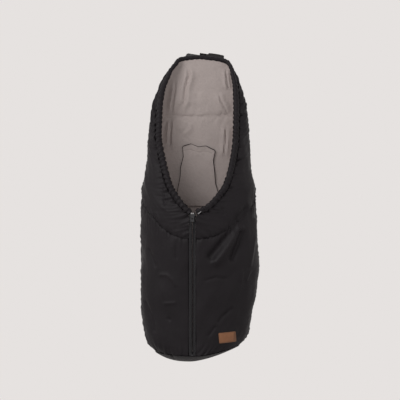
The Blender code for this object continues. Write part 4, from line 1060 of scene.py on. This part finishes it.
# %% Zip
def make_zip():
    for word, hand in (("left", LEFT), ("right", RIGHT)):
        low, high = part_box("zip_tape_" + word)
        x = np.linspace(low.x, high.x, 14)[None, :]
        z = np.linspace(high.z, low.z, 260)[:, None]
        guard = 0.5 * MM * np.exp(-((x - (low.x if hand < 0 else high.x)) / (1.8 * MM)) ** 2) + 0 * z
        face = low.y - guard
        front = np.stack((x + 0 * z, face, z + 0 * x), -1)
        rear = np.stack((x + 0 * z, high.y + 0 * z + 0 * x, z + 0 * x), -1)
        dress(closed_panel("tape_" + word, front, rear, "tape"), "bag", ("zip_tape_" + word,))
        low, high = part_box("zip_coil_" + word)
        middle = (low + high) / 2
        line = [(middle.x, middle.y, high.z - 1 * MM), (middle.x, middle.y, low.z + 1 * MM)]
        size = high - low
        teeth = repeat_along("teeth_" + word, line, 1.35 * MM, size.x, size.y, 1.0 * MM, "coil")
        dress(teeth, "bag", ("zip_coil_" + word,))


# The right tape's top end is turned outwards and shows pale at the mouth
TAPE_END = ((197.9, 213.8), (201.2, 211.3))
TAPE_END_WIDE, TAPE_END_CURL = 1.6 * MM, 1.2 * MM


def make_tape_end():
    (ax, az), (bx, bz) = (from_picture(*spot) for spot in TAPE_END)
    long = math.hypot(bx - ax, bz - az)
    u = np.linspace(0, 1, 12)[None, :]
    v = np.linspace(-0.5, 0.5, 6)[:, None] * TAPE_END_WIDE / long
    x = ax + (bx - ax) * u - v * (bz - az)
    z = az + (bz - az) * u + v * (bx - ax)
    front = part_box("zip_top_stop_right")[0].y - TAPE_END_CURL * np.sin(u * math.pi / 2) + 0 * v
    outer, inner = np.stack((x, front, z), -1), np.stack((x, front + 0.6 * MM, z), -1)
    dress(closed_panel("tape_end", outer, inner, "silver"), "bag")


make_zip()
make_tape_end()

# %% [markdown]
# The small hard parts have their right shapes in the solids already. What they lack is the soft edge that
# catches light, so their loose faces are welded and the edges bevelled by live modifiers, and their finish
# goes on. Making them anew would only risk their fit.

# %% Hard parts
def soften(node, finish, edge):
    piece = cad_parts[node]
    weld = piece.modifiers.new("weld", "WELD")
    weld.merge_threshold = 0.01 * MM
    bevel = piece.modifiers.new("edge", "BEVEL")
    bevel.width, bevel.segments, bevel.limit_method = edge, 3, "ANGLE"
    bevel.angle_limit = math.radians(40)
    piece.data.materials.clear()
    piece.data.materials.append(finishes[finish])
    print(node, "edge", round(edge / MM, 2), "mm")


for node in ("zip_slider", "zip_puller", "zip_bottom_stop"):
    soften(node, "metal", 0.22 * MM)
for node in ("zip_top_stop_left", "zip_top_stop_right"):
    soften(node, "silver", 0.22 * MM)
for node in ("buckle_socket", "buckle_plug", "buckle_prong_left", "buckle_prong_right"):
    soften(node, "plastic", 0.45 * MM)

# %% [markdown]
# The leather label lies on the right front, a little tilted, with rounded corners, a stitched edge and no
# mark on it. It follows the loft, lifted by its own thickness.

# %% Label
LABEL_CORNER, LABEL_STITCH = 2.0 * MM, 2.4 * MM


def front_face(x, z):
    drop = (HOOD_LIP - z) / LENGTH
    reach = HALF_WIDTH * np.where(x < 0, reach_left(drop), reach_right(drop))
    depth = DEPTH * depth_share(drop)
    flank = SIDE_DEPTH_SHARE * depth
    across = np.clip(np.abs(x) / reach, 0, 1) ** ROUNDNESS
    return BACK_Y - flank - (depth - flank) * (1 - across) ** (1 / ROUNDNESS)


def on_label(u, v, lift):
    x = LABEL_X + u * math.cos(LABEL_TILT) - v * math.sin(LABEL_TILT)
    z = LABEL_Z + u * math.sin(LABEL_TILT) + v * math.cos(LABEL_TILT)
    return np.stack((x, front_face(x, z) - lift, z), -1)


def make_label():
    u = np.linspace(-1, 1, 50)[None, :] * np.ones((34, 1))
    v = np.linspace(1, -1, 34)[:, None] * np.ones((1, 50))
    squeeze = LABEL_CORNER / LABEL_TALL
    wide = LABEL_WIDE / 2 * u * (1 - squeeze * np.maximum(np.abs(v) - 0.9, 0) * 6)
    tall = LABEL_TALL / 2 * v * (1 - squeeze * np.maximum(np.abs(u) - 0.93, 0) * 6)
    rim = np.minimum(LABEL_WIDE / 2 * (1 - np.abs(u)), LABEL_TALL / 2 * (1 - np.abs(v)))
    lift = LABEL_LIFT + LABEL_THICK * (1 - 0.4 * np.exp(-rim / (0.5 * MM)))
    lift -= 0.35 * MM * np.exp(-((rim - LABEL_STITCH) / (0.5 * MM)) ** 2)
    piece = closed_panel("label", on_label(wide, tall, lift), on_label(wide, tall, 0.0), "leather")
    dress(piece, "bag", ("leather_label",))
    half_w, half_t = LABEL_WIDE / 2 - LABEL_STITCH, LABEL_TALL / 2 - LABEL_STITCH
    corners = np.array(((-half_w, -half_t), (half_w, -half_t), (half_w, half_t), (-half_w, half_t),
                        (-half_w, -half_t)))
    line = np.concatenate([np.linspace(a, b, 20) for a, b in zip(corners, corners[1:])])
    path = on_label(line[:, 0], line[:, 1], LABEL_LIFT + LABEL_THICK - 0.25 * MM)
    stitches = repeat_along("label_stitches", path, 2.6 * MM, 0.55 * MM, 0.4 * MM, 1.9 * MM, "tan_thread")
    dress(stitches, "bag")


make_label()

# %% [markdown]
# The strap is 25 mm webbing. Its left half is sewn behind the hood, passes under and behind the bar and comes
# over it into the buckle, and its right half goes from the buckle down to the hood. Cloth this narrow is
# swept along its route directly, because a simulation would lose it.

# %% Strap routes
WEBBING, WEBBING_THICK = 25 * MM, 1.6 * MM
BAR_RADIUS, BUCKLE_X, BUCKLE_LONG, SOCKET_LONG = 24 * MM, 28 * MM, 65 * MM, 41 * MM
LEAN, SKEW = math.radians(28), math.radians(19.6)
PLUG_BAR_DEPTH, PLUG_TONGUE, STRAP_SEWN = 1.6 * MM, 30 * MM, 30 * MM
LEFT_SEWN, RIGHT_SEWN = (-60 * MM, -92 * MM), (66 * MM, -72 * MM)
WRAP_END, WRAP_DRIFT_SHARE, WRAP_DRIFT_POWER = math.radians(25), 0.75, 2.5
THIRD = Vector((0, -math.sin(LEAN), math.cos(LEAN)))
FIRST = Vector((math.cos(SKEW), -math.sin(SKEW) * math.cos(LEAN), -math.sin(SKEW) * math.sin(LEAN)))
BUCKLE_RISE = BAR_RADIUS + PLUG_BAR_DEPTH + GAP + WEBBING_THICK / 2
BUCKLE_PLACE = Vector((BUCKLE_X, 0, -BAR_RADIUS)) + THIRD * BUCKLE_RISE


def on_bar(x, turn):
    face = Vector((0, math.sin(turn), math.cos(turn)))
    return Vector((x, 0, -BAR_RADIUS)) + face * (BAR_RADIUS + GAP + WEBBING_THICK / 2), face


def eased_route(knots, steps):
    stations = []
    for i in range(len(knots) - 1):
        p0, p1 = knots[max(i - 1, 0)], knots[i]
        p2, p3 = knots[i + 1], knots[min(i + 2, len(knots) - 1)]
        for k in range(steps):
            t = k / steps
            place = (2 * p1[0] + (p2[0] - p0[0]) * t + (2 * p0[0] - 5 * p1[0] + 4 * p2[0] - p3[0]) * t ** 2
                     + (3 * p1[0] - p0[0] - 3 * p2[0] + p3[0]) * t ** 3) / 2
            stations.append((place, p1[1].lerp(p2[1], t).normalized()))
    return stations + [knots[-1]]


def webbing(name, stations, node):
    places = np.array([tuple(s[0]) for s in stations])
    faces = np.array([tuple(s[1]) for s in stations])
    along = unit(np.gradient(places, axis=0))
    across = unit(np.cross(along, faces))
    normal = np.cross(across, along)
    turn = np.linspace(0, math.tau, 41)
    wide = signed_power(np.cos(turn), 0.35) * WEBBING / 2
    thick = signed_power(np.sin(turn), 0.6) * WEBBING_THICK / 2
    ring = places[:, None] + across[:, None] * wide[None, :, None] + normal[:, None] * thick[None, :, None]
    core = places[:, None] + (ring - places[:, None]) * 0.2
    dress(closed_panel(name, ring, core, "webbing", wrapped=True), "bag", (node,))


def make_straps():
    sewn_y = BACK_Y + GAP + WEBBING_THICK / 2
    behind, ahead = Vector((0, 1, 0)), Vector((0, -1, 0))
    x, z = LEFT_SEWN
    start = Vector((x, sewn_y, z + STRAP_SEWN))
    below = start.z + BAR_RADIUS
    ring = BAR_RADIUS + GAP + WEBBING_THICK / 2
    touch = math.atan2(start.y, below) % math.tau - math.acos(ring / math.hypot(start.y, below))
    stations = [(Vector((x, sewn_y, z + STRAP_SEWN * k / 6)), behind) for k in range(7)]
    for share in (k / 40 for k in range(41)):
        drift = WRAP_DRIFT_SHARE * WEBBING * share ** WRAP_DRIFT_POWER
        stations.append(on_bar(x + drift, touch + (WRAP_END - touch) * share))
    straight = -BUCKLE_LONG / 2 - PLUG_TONGUE
    tail = BUCKLE_LONG / 2 - SOCKET_LONG - GAP - WEBBING_THICK
    spots = [(BUCKLE_PLACE + FIRST * d, THIRD) for d in (straight, straight + WEBBING / 2)]
    stations += eased_route(stations[-2:] + spots, 10)[11:20]
    stations += [(BUCKLE_PLACE + FIRST * (straight + (tail - straight) * k / 12), THIRD) for k in range(13)]
    webbing("strap_web_left", stations, "strap_left")
    end = BUCKLE_LONG / 2
    x, z = RIGHT_SEWN
    between = Vector((x, sewn_y, z + STRAP_SEWN))
    bend = BUCKLE_PLACE + FIRST * (end + 2.2 * MM)
    half_way = (bend + between) / 2 + FIRST * WEBBING * 0.2
    route = eased_route([(bend, THIRD), (half_way, (THIRD + ahead).normalized()), (between, ahead)], 14)
    stations = [(BUCKLE_PLACE + FIRST * (end - 0.22 * SOCKET_LONG + GAP), THIRD)] + route
    stations += [(Vector((x, sewn_y, z + STRAP_SEWN * (1 - k / 6))), ahead) for k in range(1, 7)]
    webbing("strap_web_right", stations, "strap_right")


make_straps()

# %% [markdown]
# Topstitching follows the curved yoke seam and the hem at the foot. Each is the thread tree again on a line
# that walks the loft just beside the seam.

# %% Topstitching
def seam_line(side, row, lift):
    cells = np.linspace(BACK_CELLS + 0.3, ALL_CELLS - 0.25, 120)
    points = bag(side, cells, row)
    heart = np.array((0.0, BACK_Y - DEPTH / 2))
    away = points - np.append(heart, 0.0)
    away[:, 2] = 0
    return points + unit(away) * lift


for word, hand in (("left", LEFT), ("right", RIGHT)):
    for title, row in (("yoke", YOKE_ROW - 0.10), ("hem", LAST_ROW - 0.35)):
        thread = repeat_along(title + "_stitches_" + word, seam_line(hand, row, -0.8 * MM), 3.2 * MM,
                              0.6 * MM, 0.45 * MM, 2.3 * MM, "thread")
        dress(thread, "bag")

# %% [markdown]
# The dressed part has to keep the solids' size, so both boxes are printed side by side.

# %% Sizes
dressed_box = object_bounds()
for word, (low, high) in (("solids", solid_box), ("dressed", dressed_box)):
    print(word, [round(c, 4) for c in low], [round(c, 4) for c in high])
